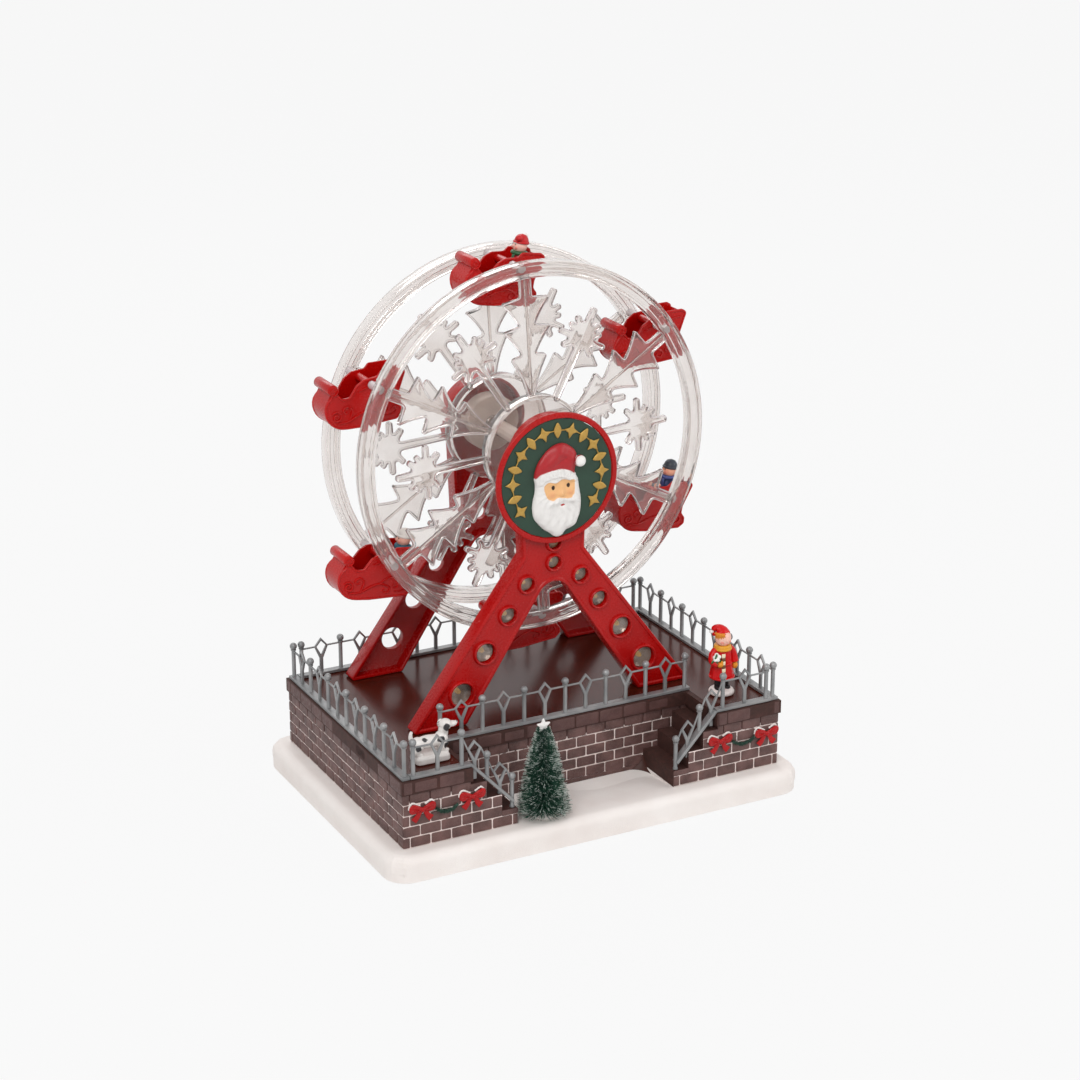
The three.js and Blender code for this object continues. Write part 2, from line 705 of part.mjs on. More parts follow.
function back_frame() {
  const inner = frame_spread - frame_wall;
  const open = frame_spread - frame_depth;
  const shell = frame_shell().mirror([0, 1, 0]);
  const motor_z = wheel_height - gear_distance;
  const collar = bar_back(motor_radius + seat_gap + motor_collar, open, inner + frame_wall / 2, 0, motor_z,
    round_sides);
  const pillars = housing_pillars.map((degrees) => {
    const angle = THREE.MathUtils.degToRad(degrees);
    const reach = housing_radius - housing_wall / 2;
    return bar_back(pillar_radius, open, inner + frame_wall / 2, reach * Math.cos(angle),
      wheel_height + reach * Math.sin(angle), tiny_sides);
  });
  const motor_room = bar_back(motor_radius + seat_gap, open - cut_overrun, inner, 0, motor_z, round_sides);
  const whole = joined(shell, collar, ...pillars);
  return placed_frame(cut(whole, motor_room, axle_bore(open - cut_overrun, inner)));
}

const panel_thickness = 1;

// A clear panel behind all the holes of a frame
function lamp_panel(side) {
  const front = -frame_spread + frame_wall + seat_gap;
  const outline = inset(frame_outline(), frame_wall + seat_gap);
  const head = bar_back(head_radius + seat_gap, front - cut_overrun, front + frame_wall, 0, wheel_height,
    round_sides);
  const panel = cut(plate(outline, front, front + panel_thickness), head);
  return placed_frame(side < 0 ? panel : panel.mirror([0, 1, 0]));
}

// Medallion on the front frame: red rim, green disc, gold ornaments and a relief head

const medallion_drop = 10.6;
const medallion_radius = 41.3;
const medallion_rim_width = 3.4;
const medallion_front = -57;
const medallion_back = -frame_spread - hole_rim - seat_gap;
const medallion_z = deck_z + wheel_height - medallion_drop;
const medallion_recess = 0.7;
const medallion_boss_radius = 8;
const ornament_inset = 10.9;
const ornament_radius = medallion_radius - ornament_inset;
const ornament_count = 15;
const ornament_first = THREE.MathUtils.degToRad(-35);
const ornament_last = THREE.MathUtils.degToRad(215);
const ornament_height = 0.7;
const ornament_band = 0.6;
const band_steps = 18;
const star_outer = 4.2;
const star_inner = 1.9;
const leaf_length = 4.4;
const leaf_width = 2;
const ornament_tips = 4;
const head_x = -0.5;
const head_drop = 7.3;
const head_z = medallion_z - head_drop;
const head_thickness = 3;
const head_bevel = 2.2;

function medallion_rim() {
  const inner = medallion_radius - medallion_rim_width;
  return tube_back(medallion_radius, inner, wheel_y + medallion_front, wheel_y + medallion_back, 0,
    medallion_z, fine_sides);
}

// The disc stands on a boss on the head of the frame
function medallion_disc() {
  const front = wheel_y + medallion_front + medallion_recess;
  const disc = bar_back(medallion_radius - medallion_rim_width - seat_gap, front, wheel_y + medallion_back, 0,
    medallion_z, fine_sides);
  const boss = bar_back(medallion_boss_radius, front + medallion_recess, wheel_y - frame_spread - seat_gap, 0,
    wheel_z, small_sides);
  return joined(disc, boss);
}

function star_points(outer, inner, tips) {
  return Array.from({ length: 2 * tips }, (_, index) => {
    const angle = Math.PI * index / tips;
    const radius = index % 2 === 0 ? outer : inner;
    return [radius * Math.sin(angle), radius * Math.cos(angle)];
  }).reverse();
}

function medallion_ornament() {
  const y1 = wheel_y + medallion_front + medallion_recess - seat_gap;
  const y0 = y1 - ornament_height;
  const leaf = [[0, -leaf_length], [leaf_width, 0], [0, leaf_length], [-leaf_width, 0]];
  const edge = (radius) => arc(0, medallion_z, radius, ornament_first, ornament_last, band_steps);
  const outer = edge(ornament_radius + ornament_band);
  const inner = edge(ornament_radius - ornament_band);
  const band = plate([...outer, ...inner.reverse()], y0, y1);
  return joined(band, ...Array.from({ length: ornament_count }, (_, index) => {
    const angle = ornament_first + (ornament_last - ornament_first) * index / (ornament_count - 1);
    const outline = index % 2 === 0 ? star_points(star_outer, star_inner, ornament_tips) : leaf;
    return moved(turned(plate(outline, y0, y1), [0, 1, 0], Math.PI / 2 - angle),
      ornament_radius * Math.cos(angle), 0, medallion_z + ornament_radius * Math.sin(angle));
  }));
}

// The head is drawn for a medallion of this radius and scales with it
const drawn_radius = 41.3;
const head_scale = medallion_radius / drawn_radius;
const beard_outline = [[-15.6, 10.5], [-14.9, 4], [-16.2, -2.1], [-16.9, -9.7], [-15.6, -15.7],
  [-8.8, -23.9], [-4, -27.9], [0.2, -29.9], [3.6, -29.2], [6.4, -25.8], [13.3, -23.7], [16, -15.1],
  [15.9, -4.1], [14.5, 2.5], [11.7, 10.4], [13.8, 17.3], [12.4, 23.3], [7.5, 27.8], [2.8, 29.5],
  [-3.3, 28.2], [-8.8, 24], [-13.5, 17.8]];
const pompom_radius = 3.6;
const pompom_x = 14.1;
const pompom_z = 17.6;
const nose_radius = 2.4;
const nose_x = 1.5;
const nose_z = -1.2;

function medallion_head() {
  const y1 = wheel_y + medallion_front + medallion_recess - seat_gap;
  const outline = inset(beard_outline.map(([x, z]) => [x * head_scale, z * head_scale]), head_bevel);
  const raw = new THREE.ExtrudeGeometry(polygon(outline), { depth: head_thickness, bevelEnabled: true,
    bevelSize: head_bevel, bevelThickness: head_bevel, bevelSegments: 1 });
  const face = raw.rotateX(Math.PI / 2).translate(head_x, y1, head_z);
  const at = (x, z) => [head_x + x * head_scale, head_z + z * head_scale];
  const [pompom_at, pompom_up] = at(pompom_x, pompom_z);
  const [nose_at, nose_up] = at(nose_x, nose_z);
  const pompom = ball(pompom_radius, pompom_at, y1 - pompom_radius, pompom_up, small_sides, tiny_sides);
  const nose = ball(nose_radius, nose_at, y1 - head_thickness - head_bevel, nose_up, tiny_sides, square_sides);
  const behind = bar_back(2 * medallion_radius, y1, y1 + medallion_radius, head_x, head_z, small_sides);
  return cut(joined(face, pompom, nose), behind);
}

// Wheel: two clear discs with tree and snowflake spokes, pins, spacer, axle and gear

const rim_wall = 1.6;
const rim_web = 2;
const rim_sides = 32;
const spoke_thickness = 3;
const hub_outer = 34;
const hub_ring = 2.5;
const hub_web = 2;
const hub_boss = 6;
const hub_sides = 16;
const pin_radius = 2.5;
const pin_tip_radius = 1.5;
const tube_radius = 2.6;
const tube_bore = pin_tip_radius + running_gap;
const pin_reach = 6;
const tree_stem_half = 2.3;
const tree_crown_half = 3.9;
// Shares of the wheel's radius, each with the half width of the tree there
const tree_tier_shares = [[0.5, 12.5], [0.513, 4.7], [0.65, 16.4], [0.666, 5.2], [0.803, 16.6],
  [0.816, tree_crown_half]];
const flake_radius_share = 0.624;
const flake_stub = 20;
const flake_half = 2;
const flake_radius = rim_outer_radius * flake_radius_share;
const flake_stalk = hub_outer - hub_ring + seat_gap - flake_radius;
// Each arm of the snowflake: the valley before it and its tip, in degrees and millimetres
const flake_arms = [[20, 7.8, 37, 13.5], [50, 8.3, 62, 12.2], [77, 7.3, 92, 16.4], [110, 7.3, 128, 13.3]];
const flake_last_valley = [150, 5.7];

function rim_ring() {
  const inner = rim_outer_radius - rim_width;
  const half = rim_depth / 2;
  const profile = ring([[inner, -half], [inner + rim_wall, -half], [inner + rim_wall, half - rim_web],
    [rim_outer_radius - rim_wall, half - rim_web], [rim_outer_radius - rim_wall, -half],
    [rim_outer_radius, -half], [rim_outer_radius, half], [inner, half]]);
  return turned_back(profile, rim_sides, 0, 0, 0);
}

function tree_spoke() {
  const upper = [[hub_outer - hub_ring / 2, tree_stem_half],
    ...tree_tier_shares.map(([share, half]) => [share * rim_outer_radius, half]),
    [rim_outer_radius - rim_width + rim_wall / 2, tree_crown_half]];
  const lower = upper.map(([along, aside]) => [along, -aside]);
  return plate([...lower, ...[...upper].reverse()], -spoke_thickness / 2, spoke_thickness / 2);
}

function flake_spoke() {
  const polar = (degrees, radius) => {
    const angle = THREE.MathUtils.degToRad(degrees);
    return [radius * Math.cos(angle), radius * Math.sin(angle)];
  };
  const upper = [[flake_stub, flake_half]];
  for (const [valley, depth, tip, length] of flake_arms) {
    upper.push(polar(valley, depth));
    const [x, z] = polar(tip, length);
    upper.push([x, z]);
  }
  upper.push(polar(...flake_last_valley), [flake_stalk, flake_half]);
  const lower = upper.map(([x, z]) => [x, -z]).reverse();
  return moved(plate([...upper, ...lower], -spoke_thickness / 2, spoke_thickness / 2), flake_radius, 0, 0);
}

// A cupped hub: a ring and a boss joined by a web on the inner side
function hub() {
  const half = rim_depth / 2;
  const inner = hub_outer - hub_ring;
  return turned_back([[0, -half], [hub_boss, -half], [hub_boss, half - hub_web], [inner, half - hub_web],
    [inner, -half], [hub_outer, -half], [hub_outer, half], [0, half]], hub_sides, 0, 0, 0);
}

// The outer face looks towards -Y; the pins stand on the inner face
function wheel_disc() {
  const turn = (part, angle) => turned(part, [0, 1, 0], -angle);
  const spokes = Array.from({ length: sleigh_count }, (_, index) => {
    const angle = pivot_phase + 2 * Math.PI * index / sleigh_count;
    return [turn(tree_spoke(), angle), turn(flake_spoke(), angle + Math.PI / sleigh_count)];
  }).flat();
  const half = rim_depth / 2;
  const shoulder = disc_spread - sleigh_width / 2 - running_gap;
  const pins = Array.from({ length: sleigh_count }, (_, index) => {
    const angle = pivot_phase + 2 * Math.PI * index / sleigh_count;
    return turned_back([[0, half - rim_web / 2], [pin_radius, half - rim_web / 2], [pin_radius, shoulder],
      [pin_tip_radius, shoulder], [pin_tip_radius, shoulder + pin_reach], [0, shoulder + pin_reach]],
    tiny_sides, pivot_radius * Math.cos(angle), 0, pivot_radius * Math.sin(angle));
  });
  const bore = bar_back(axle_radius + seat_gap, -rim_depth, rim_depth, 0, 0, small_sides);
  return cut(joined(rim_ring(), hub(), ...spokes, ...pins), bore);
}

function disc_front() {
  return wheel_disc().translate(0, wheel_y - disc_spread, wheel_z);
}

function disc_back() {
  return wheel_disc().mirror([0, 1, 0]).translate(0, wheel_y + disc_spread, wheel_z);
}

function axle() {
  const end = frame_spread - frame_wall - running_gap;
  return bar_back(axle_radius, wheel_y - end, wheel_y + end, 0, wheel_z, round_sides);
}

const spacer_radius = 5;
const gear_inset = 2.4;
const gear_width = 4.8;
const gear_y0 = housing_front + gear_inset;
const gear_y1 = gear_y0 + gear_width;
const gear_root_share = 1.25;
const gear_tip_share = 0.85;
const tooth_half_share = 0.3;
const gear_hub_radius = 4.5;

function hub_spacer() {
  const end = disc_spread - rim_depth / 2 - seat_gap;
  return tube_back(spacer_radius, axle_radius + seat_gap, wheel_y - end, wheel_y + end, 0, wheel_z,
    round_sides);
}

// Pointed teeth on a pitch circle; the phase puts a tooth or a gap on the +Z side
function gear_outline(teeth, phase) {
  const pitch = gear_module * teeth / 2;
  const root = pitch - gear_module * gear_root_share;
  const tip = pitch + gear_module * gear_tip_share;
  const steps = [[root, -tooth_half_share], [tip, 0], [root, tooth_half_share]];
  return Array.from({ length: teeth }, (_, index) => steps.map(([radius, share]) => {
    const angle = phase + 2 * Math.PI * (index + share) / teeth;
    return [radius * Math.cos(angle), radius * Math.sin(angle)];
  })).flat();
}

function wheel_gear() {
  const body = plate(gear_outline(gear_teeth, -Math.PI / 2), wheel_y + gear_y0, wheel_y + gear_y1);
  const hub_tube = bar_back(gear_hub_radius, wheel_y + gear_y0, wheel_y + housing_back - 2 * seat_gap, 0, 0,
    round_sides);
  const bore = bar_back(axle_radius + seat_gap, wheel_y, wheel_y + frame_spread, 0, 0, round_sides);
  return cut(joined(body, hub_tube), bore).translate(0, 0, wheel_z);
}

const shaft_radius = 1;
const shaft_depth = 5;
const motor_face = frame_spread - frame_depth + seat_gap;

// The pinion and its shaft, which runs into the motor
function motor_pinion() {
  const phase = Math.PI / 2 + Math.PI / pinion_teeth;
  const teeth = plate(gear_outline(pinion_teeth, phase), wheel_y + gear_y0, wheel_y + gear_y1);
  const shaft = bar_back(shaft_radius, wheel_y + gear_y0 + gear_width / 2, wheel_y + motor_face + shaft_depth
    - running_gap, 0, 0, small_sides);
  return joined(teeth, shaft).translate(0, 0, wheel_z - gear_distance);
}

function drive_motor() {
  const inner = frame_spread - frame_wall - seat_gap;
  const z = wheel_z - gear_distance;
  const can = bar_back(motor_radius, wheel_y + motor_face, wheel_y + inner, 0, z, round_sides);
  return cut(can, bar_back(shaft_radius + running_gap, wheel_y + motor_face - cut_overrun,
    wheel_y + motor_face + shaft_depth, 0, z, small_sides));
}

function gear_housing() {
  const outer = bar_back(housing_radius, wheel_y + housing_front, wheel_y + housing_back, 0, wheel_z,
    hub_sides);
  const room = bar_back(housing_radius - housing_wall, wheel_y + housing_front + housing_wall,
    wheel_y + housing_back + cut_overrun, 0, wheel_z, hub_sides);
  const hole = bar_back(axle_radius + running_gap, wheel_y, wheel_y + housing_back, 0, wheel_z, round_sides);
  return cut(outer, room, hole);
}

// Sleighs: six moulded scroll sleighs, each hanging on two pins through a cross tube

const sleigh_tilt = THREE.MathUtils.degToRad(9);
const ridden = [1, 3, 5];
const sleigh_wall = 1.6;
const sleigh_outline = [[-26, -5.2], [-29.3, -9], [-30, -15], [-27, -21.4], [-20.3, -25.5],
  [-8.1, -26], [16.4, -23.8], [20.2, -20.6], [20, -16.6], [17.2, -13.6], [17.4, -9], [22.9, 5.7], [19.5, 7.8],
  [6.5, 7.5], [3.9, 4.4], [-4.7, 3.4], [-9.4, 0.3], [-14, -6.5], [-18.5, -6.5], [-24.7, -0.5]];
const sleigh_room = [[-25, -9], [-27.4, -14.6], [-24.8, -20.2], [-19.6, -23.2], [-8, -23.6],
  [14, -21.6], [15.8, -15], [15, -9.4], [19.4, 4], [19, 10], [-19.4, 10]];
const scroll_x = -24.7;
const scroll_z = -0.9;
const scroll_radius = 4.2;
const scroll_width = 21.8;
const seat_x0 = 3.4;
const seat_x1 = 16.4;
const seat_z = -11.5;
const seat_thickness = 1.8;

function sleigh_shape() {
  const half = sleigh_width / 2;
  const room = plate(sleigh_room, sleigh_wall - half, half - sleigh_wall);
  const shell = cut(plate(sleigh_outline, -half, half), room);
  const roll = bar_back(scroll_radius, -scroll_width / 2, scroll_width / 2, scroll_x, scroll_z, small_sides);
  const tube = bar_back(tube_radius, -half, half, 0, 0, small_sides);
  const seat = block(seat_x1 - seat_x0, sleigh_width - sleigh_wall, seat_thickness,
    (seat_x0 + seat_x1) / 2, 0, seat_z - seat_thickness);
  const bore = bar_back(tube_bore, -sleigh_width, sleigh_width, 0, 0, small_sides);
  return cut(joined(shell, roll, tube, seat), bore);
}

function pivot_of(index) {
  const angle = pivot_phase + 2 * Math.PI * index / sleigh_count;
  return [pivot_radius * Math.cos(angle), wheel_y, wheel_z + pivot_radius * Math.sin(angle)];
}

// Hangs a shape drawn about its pivot; ridden sleighs lean back
function hung(shape, index) {
  const lean = ridden.includes(index) ? THREE.MathUtils.radToDeg(sleigh_tilt) : 0;
  return joined(shape).rotate([0, lean, 0]).translate(pivot_of(index));
}

// Riders: a coat, arms, a scarf, a head and a stocking cap, seated behind the cross tube

const rider_x = 9.2;
const coat_radius = 5.2;
const coat_height = 16;
const rider_head_radius = 4.6;
const rider_head_z = 12.6;
const scarf_radius = 4.2;
const scarf_thickness = 1.5;
const arm_length = 5;
const arm_radius = 1.9;
const rider_hat_radius = 5;
const rider_hat_height = 7.5;
const arm_reach = 3.5;
const arm_spread = 4.6;
const arm_sides = 5;
const arm_rings = 3;
const arm_height = 16.2;

function rider_shape() {
  const foot = seat_z + seat_gap;
  const chin = rider_head_z - rider_head_radius;
  const collar = scarf_radius + scarf_thickness / 2;
  const coat = turned_up([[0, foot], [coat_radius, foot], [coat_radius, foot + coat_height / 2],
    [scarf_radius, chin - scarf_thickness], [collar, chin - scarf_thickness],
    [collar, chin + scarf_thickness], [0, chin + scarf_thickness]], tiny_sides, rider_x, 0, 0);
  const head = ball(rider_head_radius, rider_x, 0, rider_head_z, tiny_sides, tiny_sides);
  const hat = turned_up([[0, rider_head_z], [rider_hat_radius, rider_head_z + scarf_thickness / 2],
    [rider_hat_radius, rider_head_z + 2 * scarf_thickness], [0, rider_head_z + rider_hat_height]],
  tiny_sides, rider_x, 0, 0);
  const arms = [-1, 1].map((side) => egg(arm_length, arm_radius, arm_radius, rider_x - arm_reach,
    side * arm_spread, foot + arm_height, arm_sides, arm_rings));
  return joined(coat, head, hat, ...arms);
}

// Figures on the snow: a standing child and a spotted dog

const child_inset_x = 26.5;
const child_inset_y = 25.6;
const child_sides = 7;
const foot_height = 3.8;
const leg_radius = 2.1;
const leg_spread = 3;
const hem_z = 12;
const child_head_radius = 5.6;
const child_head_z = 39.6;
const hat_shift = 0.8;
// Profiles turned round the child's own axis: radius, then height
const foot_profile = [[0, 0], [7.3, 0], [8.6, 1.9], [6, foot_height], [0, foot_height]];
const coat_profile = [[0, hem_z], [8.2, hem_z], [6, 30], [3.4, 34.5], [0, 34.5]];
const scarf_profile = [[0, 31.1], [5.4, 31.8], [5.4, 34.4], [0, 35.8]];
const hat_profile = [[0, 42.3], [6.1, 41.5], [5.5, 44.9], [3, 47.6], [0, 48.4]];
// Arms and gift: half sizes along X, Y and Z, then the middle, then the turn and its axis
const right_arm_sizes = [2.7, 2.7, 7.5];
const right_arm_place = [7.3, 0, 23.2];
const right_arm_turn = THREE.MathUtils.degToRad(-20);
const left_arm_sizes = [5.2, 2.7, 2.7];
const left_arm_place = [-5.4, -2.5, 23.4];
const left_arm_turn = THREE.MathUtils.degToRad(26);
const gift_radius = 3.6;
const gift_place = [-7.4, -3.4, 27];
const stick_radius = 1.3;
const stick_place = [-6.1, -3.4];
const stick_z = 13;

function child_figure() {
  const standing = (profile, shift) => turned_up(profile, child_sides, 0, shift, 0);
  const legs = [-1, 1].map((side) => bar_up(leg_radius, foot_height / 2, hem_z + leg_radius,
    side * leg_spread, 0, tiny_sides));
  const head = ball(child_head_radius, 0, 0, child_head_z, child_sides, tiny_sides);
  const limb = (sizes) => egg(...sizes, 0, 0, 0, tiny_sides, square_sides);
  const right_arm = turned(limb(right_arm_sizes), [0, 1, 0], right_arm_turn);
  const left_arm = turned(limb(left_arm_sizes), [0, 0, 1], left_arm_turn);
  const gift = ball(gift_radius, ...gift_place, tiny_sides, square_sides);
  const stick = bar_up(stick_radius, stick_z, gift_place[2], ...stick_place, tiny_sides);
  const body = [foot_profile, coat_profile, scarf_profile].map((profile) => standing(profile, 0));
  const arms = [moved(right_arm, ...right_arm_place), moved(left_arm, ...left_arm_place)];
  return joined(...body, ...legs, head, standing(hat_profile, hat_shift), ...arms, gift, stick)
    .translate(plinth_width / 2 - child_inset_x, child_inset_y - plinth_depth / 2, deck_z + seat_gap);
}

const dog_inset_x = 27.9;
const dog_inset_y = 21.4;
const dog_base_width = 24;
const dog_base_depth = 15;
const dog_base_height = 5;
const base_steps = 2;

// Each lump of the dog: half sizes along X, Y and Z, then its middle
const dog_lumps = [
  [11.5, 4.6, 4.4, -1, 0, 11.8], [3.6, 4.4, 5.6, -9, 0, 8.2], [4, 4.5, 6.4, 8.2, 0, 8.6],
  [3.4, 3.4, 5.6, 8.6, 0, 15.6], [4.2, 4, 3.6, 10.2, 0, 20.6], [3.8, 2.1, 1.8, 14.8, 0, 20.6],
  [1.3, 1.5, 2.8, 9.4, -4, 19.8], [1.3, 1.5, 2.8, 9.4, 4, 19.8], [1.5, 1.5, 4.6, -12, 0, 15.8],
];

function dog_figure() {
  const base = slab(rectangle(dog_base_width, dog_base_depth, dog_base_height, base_steps), 0,
    dog_base_height);
  const lumps = dog_lumps.map(([rx, ry, rz, x, y, z]) => egg(rx, ry, rz, x, y, z, tiny_sides, square_sides));
  return joined(base, ...lumps).translate(dog_inset_x - plinth_width / 2, dog_inset_y - plinth_depth / 2,
    deck_z + seat_gap);
}

// Bottle-brush tree: a twisted wire with four stacked brushes, a foot and a star

const tree_beside_stair = 18.8;
const tree_x = tree_beside_stair - stair_half;
const tree_inset = 2.9;
const tree_y = tree_inset - plinth_depth / 2;
const tree_foot_radius = 6.5;
const tree_foot_top_radius = 5.2;
const tree_foot_height = 2.4;
const wire_radius = 0.8;
const tree_height = 62;
const star_size = 5.4;
const star_thickness = 2;
const star_tips = 5;
const star_notch_share = 0.45;
const brush_start = 3;
const brush_end = 54;
const brush_count = 4;
const brush_rings = 7;
const strands_per_ring = 11;
const brush_core = 2.3;
const strand_radius = 0.26;
const strand_sides = 3;
const strand_lift = 0.22;
const strand_turn_share = 0.25;
const skirt_radius = 15.6;
const crown_radius = 5;

function tree_stem() {
  const z = snow_top + seat_gap;
  const foot = turned_up([[0, 0], [tree_foot_radius, 0], [tree_foot_top_radius, tree_foot_height],
    [0, tree_foot_height]], round_sides, tree_x, tree_y, z);
  const wire = bar_up(wire_radius, z + tree_foot_height / 2, z + tree_height - star_size, tree_x, tree_y,
    small_sides);
  return joined(foot, wire);
}

// One brush: a slice of the core with rings of strands; each ring is turned by half a pitch
function tree_brush(index) {
  const height = (brush_end - brush_start) / brush_count;
  const z0 = snow_top + seat_gap + brush_start + height * index;
  const z1 = z0 + height - seat_gap;
  const core = turned_up(ring([[wire_radius + seat_gap, 0], [brush_core, 0], [brush_core, z1 - z0],
    [wire_radius + seat_gap, z1 - z0]]), strands_per_ring, tree_x, tree_y, z0);
  const strands = Array.from({ length: brush_rings * strands_per_ring }, (_, number) => {
    const row = Math.floor(number / strands_per_ring);
    const share = (2 * row + 1) / (2 * brush_rings);
    const whole = (index + share) / brush_count;
    const length = THREE.MathUtils.lerp(skirt_radius, crown_radius, whole);
    const place = (number % strands_per_ring) + (row % 2) / 2 + strand_turn_share;
    const angle = 2 * Math.PI * place / strands_per_ring;
    const start = (wire_radius + seat_gap + brush_core) / 2;
    const spike = new THREE.ConeGeometry(strand_radius, length - start, strand_sides)
      .translate(0, (length + start) / 2, 0).rotateZ(-Math.PI / 2).rotateY(-strand_lift).rotateZ(angle);
    return spike.translate(tree_x, tree_y, z0 + (z1 - z0) * share - brush_core * strand_lift);
  });
  return joined(core, ...strands);
}

function tree_star() {
  const z = snow_top + seat_gap + tree_height - star_size + seat_gap;
  const notch = star_size * star_notch_share;
  return moved(plate(star_points(star_size, notch, star_tips), -star_thickness / 2, star_thickness / 2),
    tree_x, tree_y, z + notch + star_thickness / 4);
}

// Bows and garlands on the tower fronts

// The side of the plinth, the distance in from its edge and the drop below the deck
const bow_places = [[-1, 11.7, 19], [-1, 44.5, 17.9], [1, 43.2, 18.7], [1, 9.1, 20.3]];
const bow_half = 8;
const bow_depth = 3;
const bow_height = 3.4;
const bow_knot = 2;
const tail_drop = 7;
const tail_width = 3;
const wall_face = -plinth_depth / 2 - seat_gap;
const garland_insets = [[-1, 21, 35], [1, 34, 18]];
const garland_drop = 22;
const garland_sag = 3;
const garland_width = 2.4;
const garland_steps = 6;
const parabola_peak = 4;

function bow() {
  const knot = bow_knot / 2;
  const right = [[knot, -knot], [bow_half - tail_width, -tail_drop], [bow_half, -tail_drop + knot],
    [bow_knot, -knot], [bow_half, -bow_height], [bow_half, bow_height], [knot, knot]];
  const left = right.map(([x, z]) => [-x, z]).reverse();
  return plate([...right, ...left], -bow_depth, 0);
}

// A sagging swag between two bows
function garland([side, first, second]) {
  const x0 = side * (plinth_width / 2 - first);
  const x1 = side * (plinth_width / 2 - second);
  const line = Array.from({ length: garland_steps + 1 }, (_, step) => {
    const share = step / garland_steps;
    const sag = parabola_peak * garland_sag * share * (1 - share);
    return [x0 + (x1 - x0) * share, deck_z - garland_drop - sag];
  });
  const upper = line.map(([x, z]) => [x, z + garland_width]).reverse();
  return plate([...line, ...upper], wall_face - garland_width, wall_face);
}

// Assembly: the standing parts first, then each moving body

add('snow_base', snow_base(), finish.snow);
add('brick_plinth', brick_plinth(), finish.brick);
add('deck_plate', deck_plate(), finish.deck);
add('battery_box', battery_box(), finish.black);
for (let index = 0; index < cell_count; index += 1) {
  add(`battery_cell_${index + 1}`, battery_cell(index), finish.gold);
}
add('battery_contact_left', battery_contact(-1), finish.brass);
add('battery_contact_right', battery_contact(1), finish.brass);
add('loudspeaker', loudspeaker(), finish.black);
add('circuit_board', circuit_board(), finish.board);
add('switch_body', switch_body(), finish.black);
add('fence_centre', straight_fence(recess_half, 0, 0, centre_fence_y), finish.fence);
add('fence_left', straight_fence(side_fence_y, Math.PI / 2, -side_fence_x, 0), finish.fence);
add('fence_right', straight_fence(side_fence_y, Math.PI / 2, side_fence_x, 0), finish.fence);
add('fence_back', straight_fence(stair_fence_start, 0, 0, side_fence_y), finish.fence);
add('fence_stair_left', stair_fence(-1), finish.fence);
add('fence_stair_right', stair_fence(1), finish.fence);
add('front_frame', front_frame(), finish.red);
add('back_frame', back_frame(), finish.red);
add('front_lamp_panel', lamp_panel(-1), finish.lamp);
add('back_lamp_panel', lamp_panel(1), finish.lamp);
add('medallion_rim', medallion_rim(), finish.red);
add('medallion_disc', medallion_disc(), finish.green);
add('medallion_ornament', medallion_ornament(), finish.gold);
add('medallion_head', medallion_head(), finish.white);
add('gear_housing', gear_housing(), finish.cream);
add('drive_motor', drive_motor(), finish.steel);
add('tree_stem', tree_stem(), finish.steel);
for (let index = 0; index < brush_count; index += 1) {
  add(`tree_brush_${index + 1}`, tree_brush(index), finish.pine);
}
add('tree_star', tree_star(), finish.white);
bow_places.forEach(([side, inset_x, drop], index) => add(`bow_${index + 1}`, moved(bow(),
  side * (plinth_width / 2 - inset_x), wall_face, deck_z - drop), finish.red));
garland_insets.forEach((span, index) => add(`garland_${index + 1}`, garland(span), finish.pine));
add('child_figure', child_figure(), finish.red);
add('dog_figure', dog_figure(), finish.white);

add('wheel_disc_front', disc_front(), finish.clear);
add('wheel_disc_back', disc_back(), finish.clear);
add('axle', axle(), finish.steel);
add('hub_spacer', hub_spacer(), finish.white);
add('wheel_gear', wheel_gear(), finish.cream);
add('motor_pinion', motor_pinion(), finish.brass);
for (let index = 0; index < sleigh_count; index += 1) {
  add(`sleigh_${index + 1}`, hung(sleigh_shape(), index), finish.red);
}
for (const index of ridden) add(`rider_${index + 1}`, hung(rider_shape(), index), finish.red);
add('switch_knob', switch_knob().translate(switch_x - switch_travel / 2, switch_wall_y, switch_z),
  finish.black);
add('battery_door', battery_door().translate(door_x, box_y, 0), finish.white);

export default object;
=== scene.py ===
# Musical ferris wheel: a table-top ornament with a motor-driven wheel of six sleighs.
import math

import bmesh
import bpy
import numpy as np
from mathutils import Euler, Matrix
from mathutils.geometry import tessellate_polygon
from mathutils.kdtree import KDTree


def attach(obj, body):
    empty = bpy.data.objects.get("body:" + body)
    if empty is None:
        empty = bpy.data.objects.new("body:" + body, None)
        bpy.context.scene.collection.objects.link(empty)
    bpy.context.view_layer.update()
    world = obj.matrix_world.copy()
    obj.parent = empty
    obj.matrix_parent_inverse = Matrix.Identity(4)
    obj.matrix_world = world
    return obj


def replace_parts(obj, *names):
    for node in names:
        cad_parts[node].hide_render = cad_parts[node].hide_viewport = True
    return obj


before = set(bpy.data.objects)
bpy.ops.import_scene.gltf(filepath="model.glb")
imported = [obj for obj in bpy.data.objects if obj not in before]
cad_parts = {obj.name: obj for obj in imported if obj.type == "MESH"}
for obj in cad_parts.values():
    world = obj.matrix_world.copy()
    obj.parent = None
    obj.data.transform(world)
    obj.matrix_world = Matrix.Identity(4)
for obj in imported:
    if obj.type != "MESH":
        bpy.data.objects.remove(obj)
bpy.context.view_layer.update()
scene = bpy.context.scene

# Camera: a long lens a little above the deck, to the left of the front. Its angles and its
# distance come from the plinth's corners and the two rims' circles.


def hung(name, data, side, up, back, place):
    """A camera or lamp at place, with its axes to the side, up and back."""
    holder = bpy.data.objects.new(name, data)
    holder.matrix_world = Matrix((*zip(side, up, back, place), (0, 0, 0, 1)))
    scene.collection.objects.link(holder)
    return holder


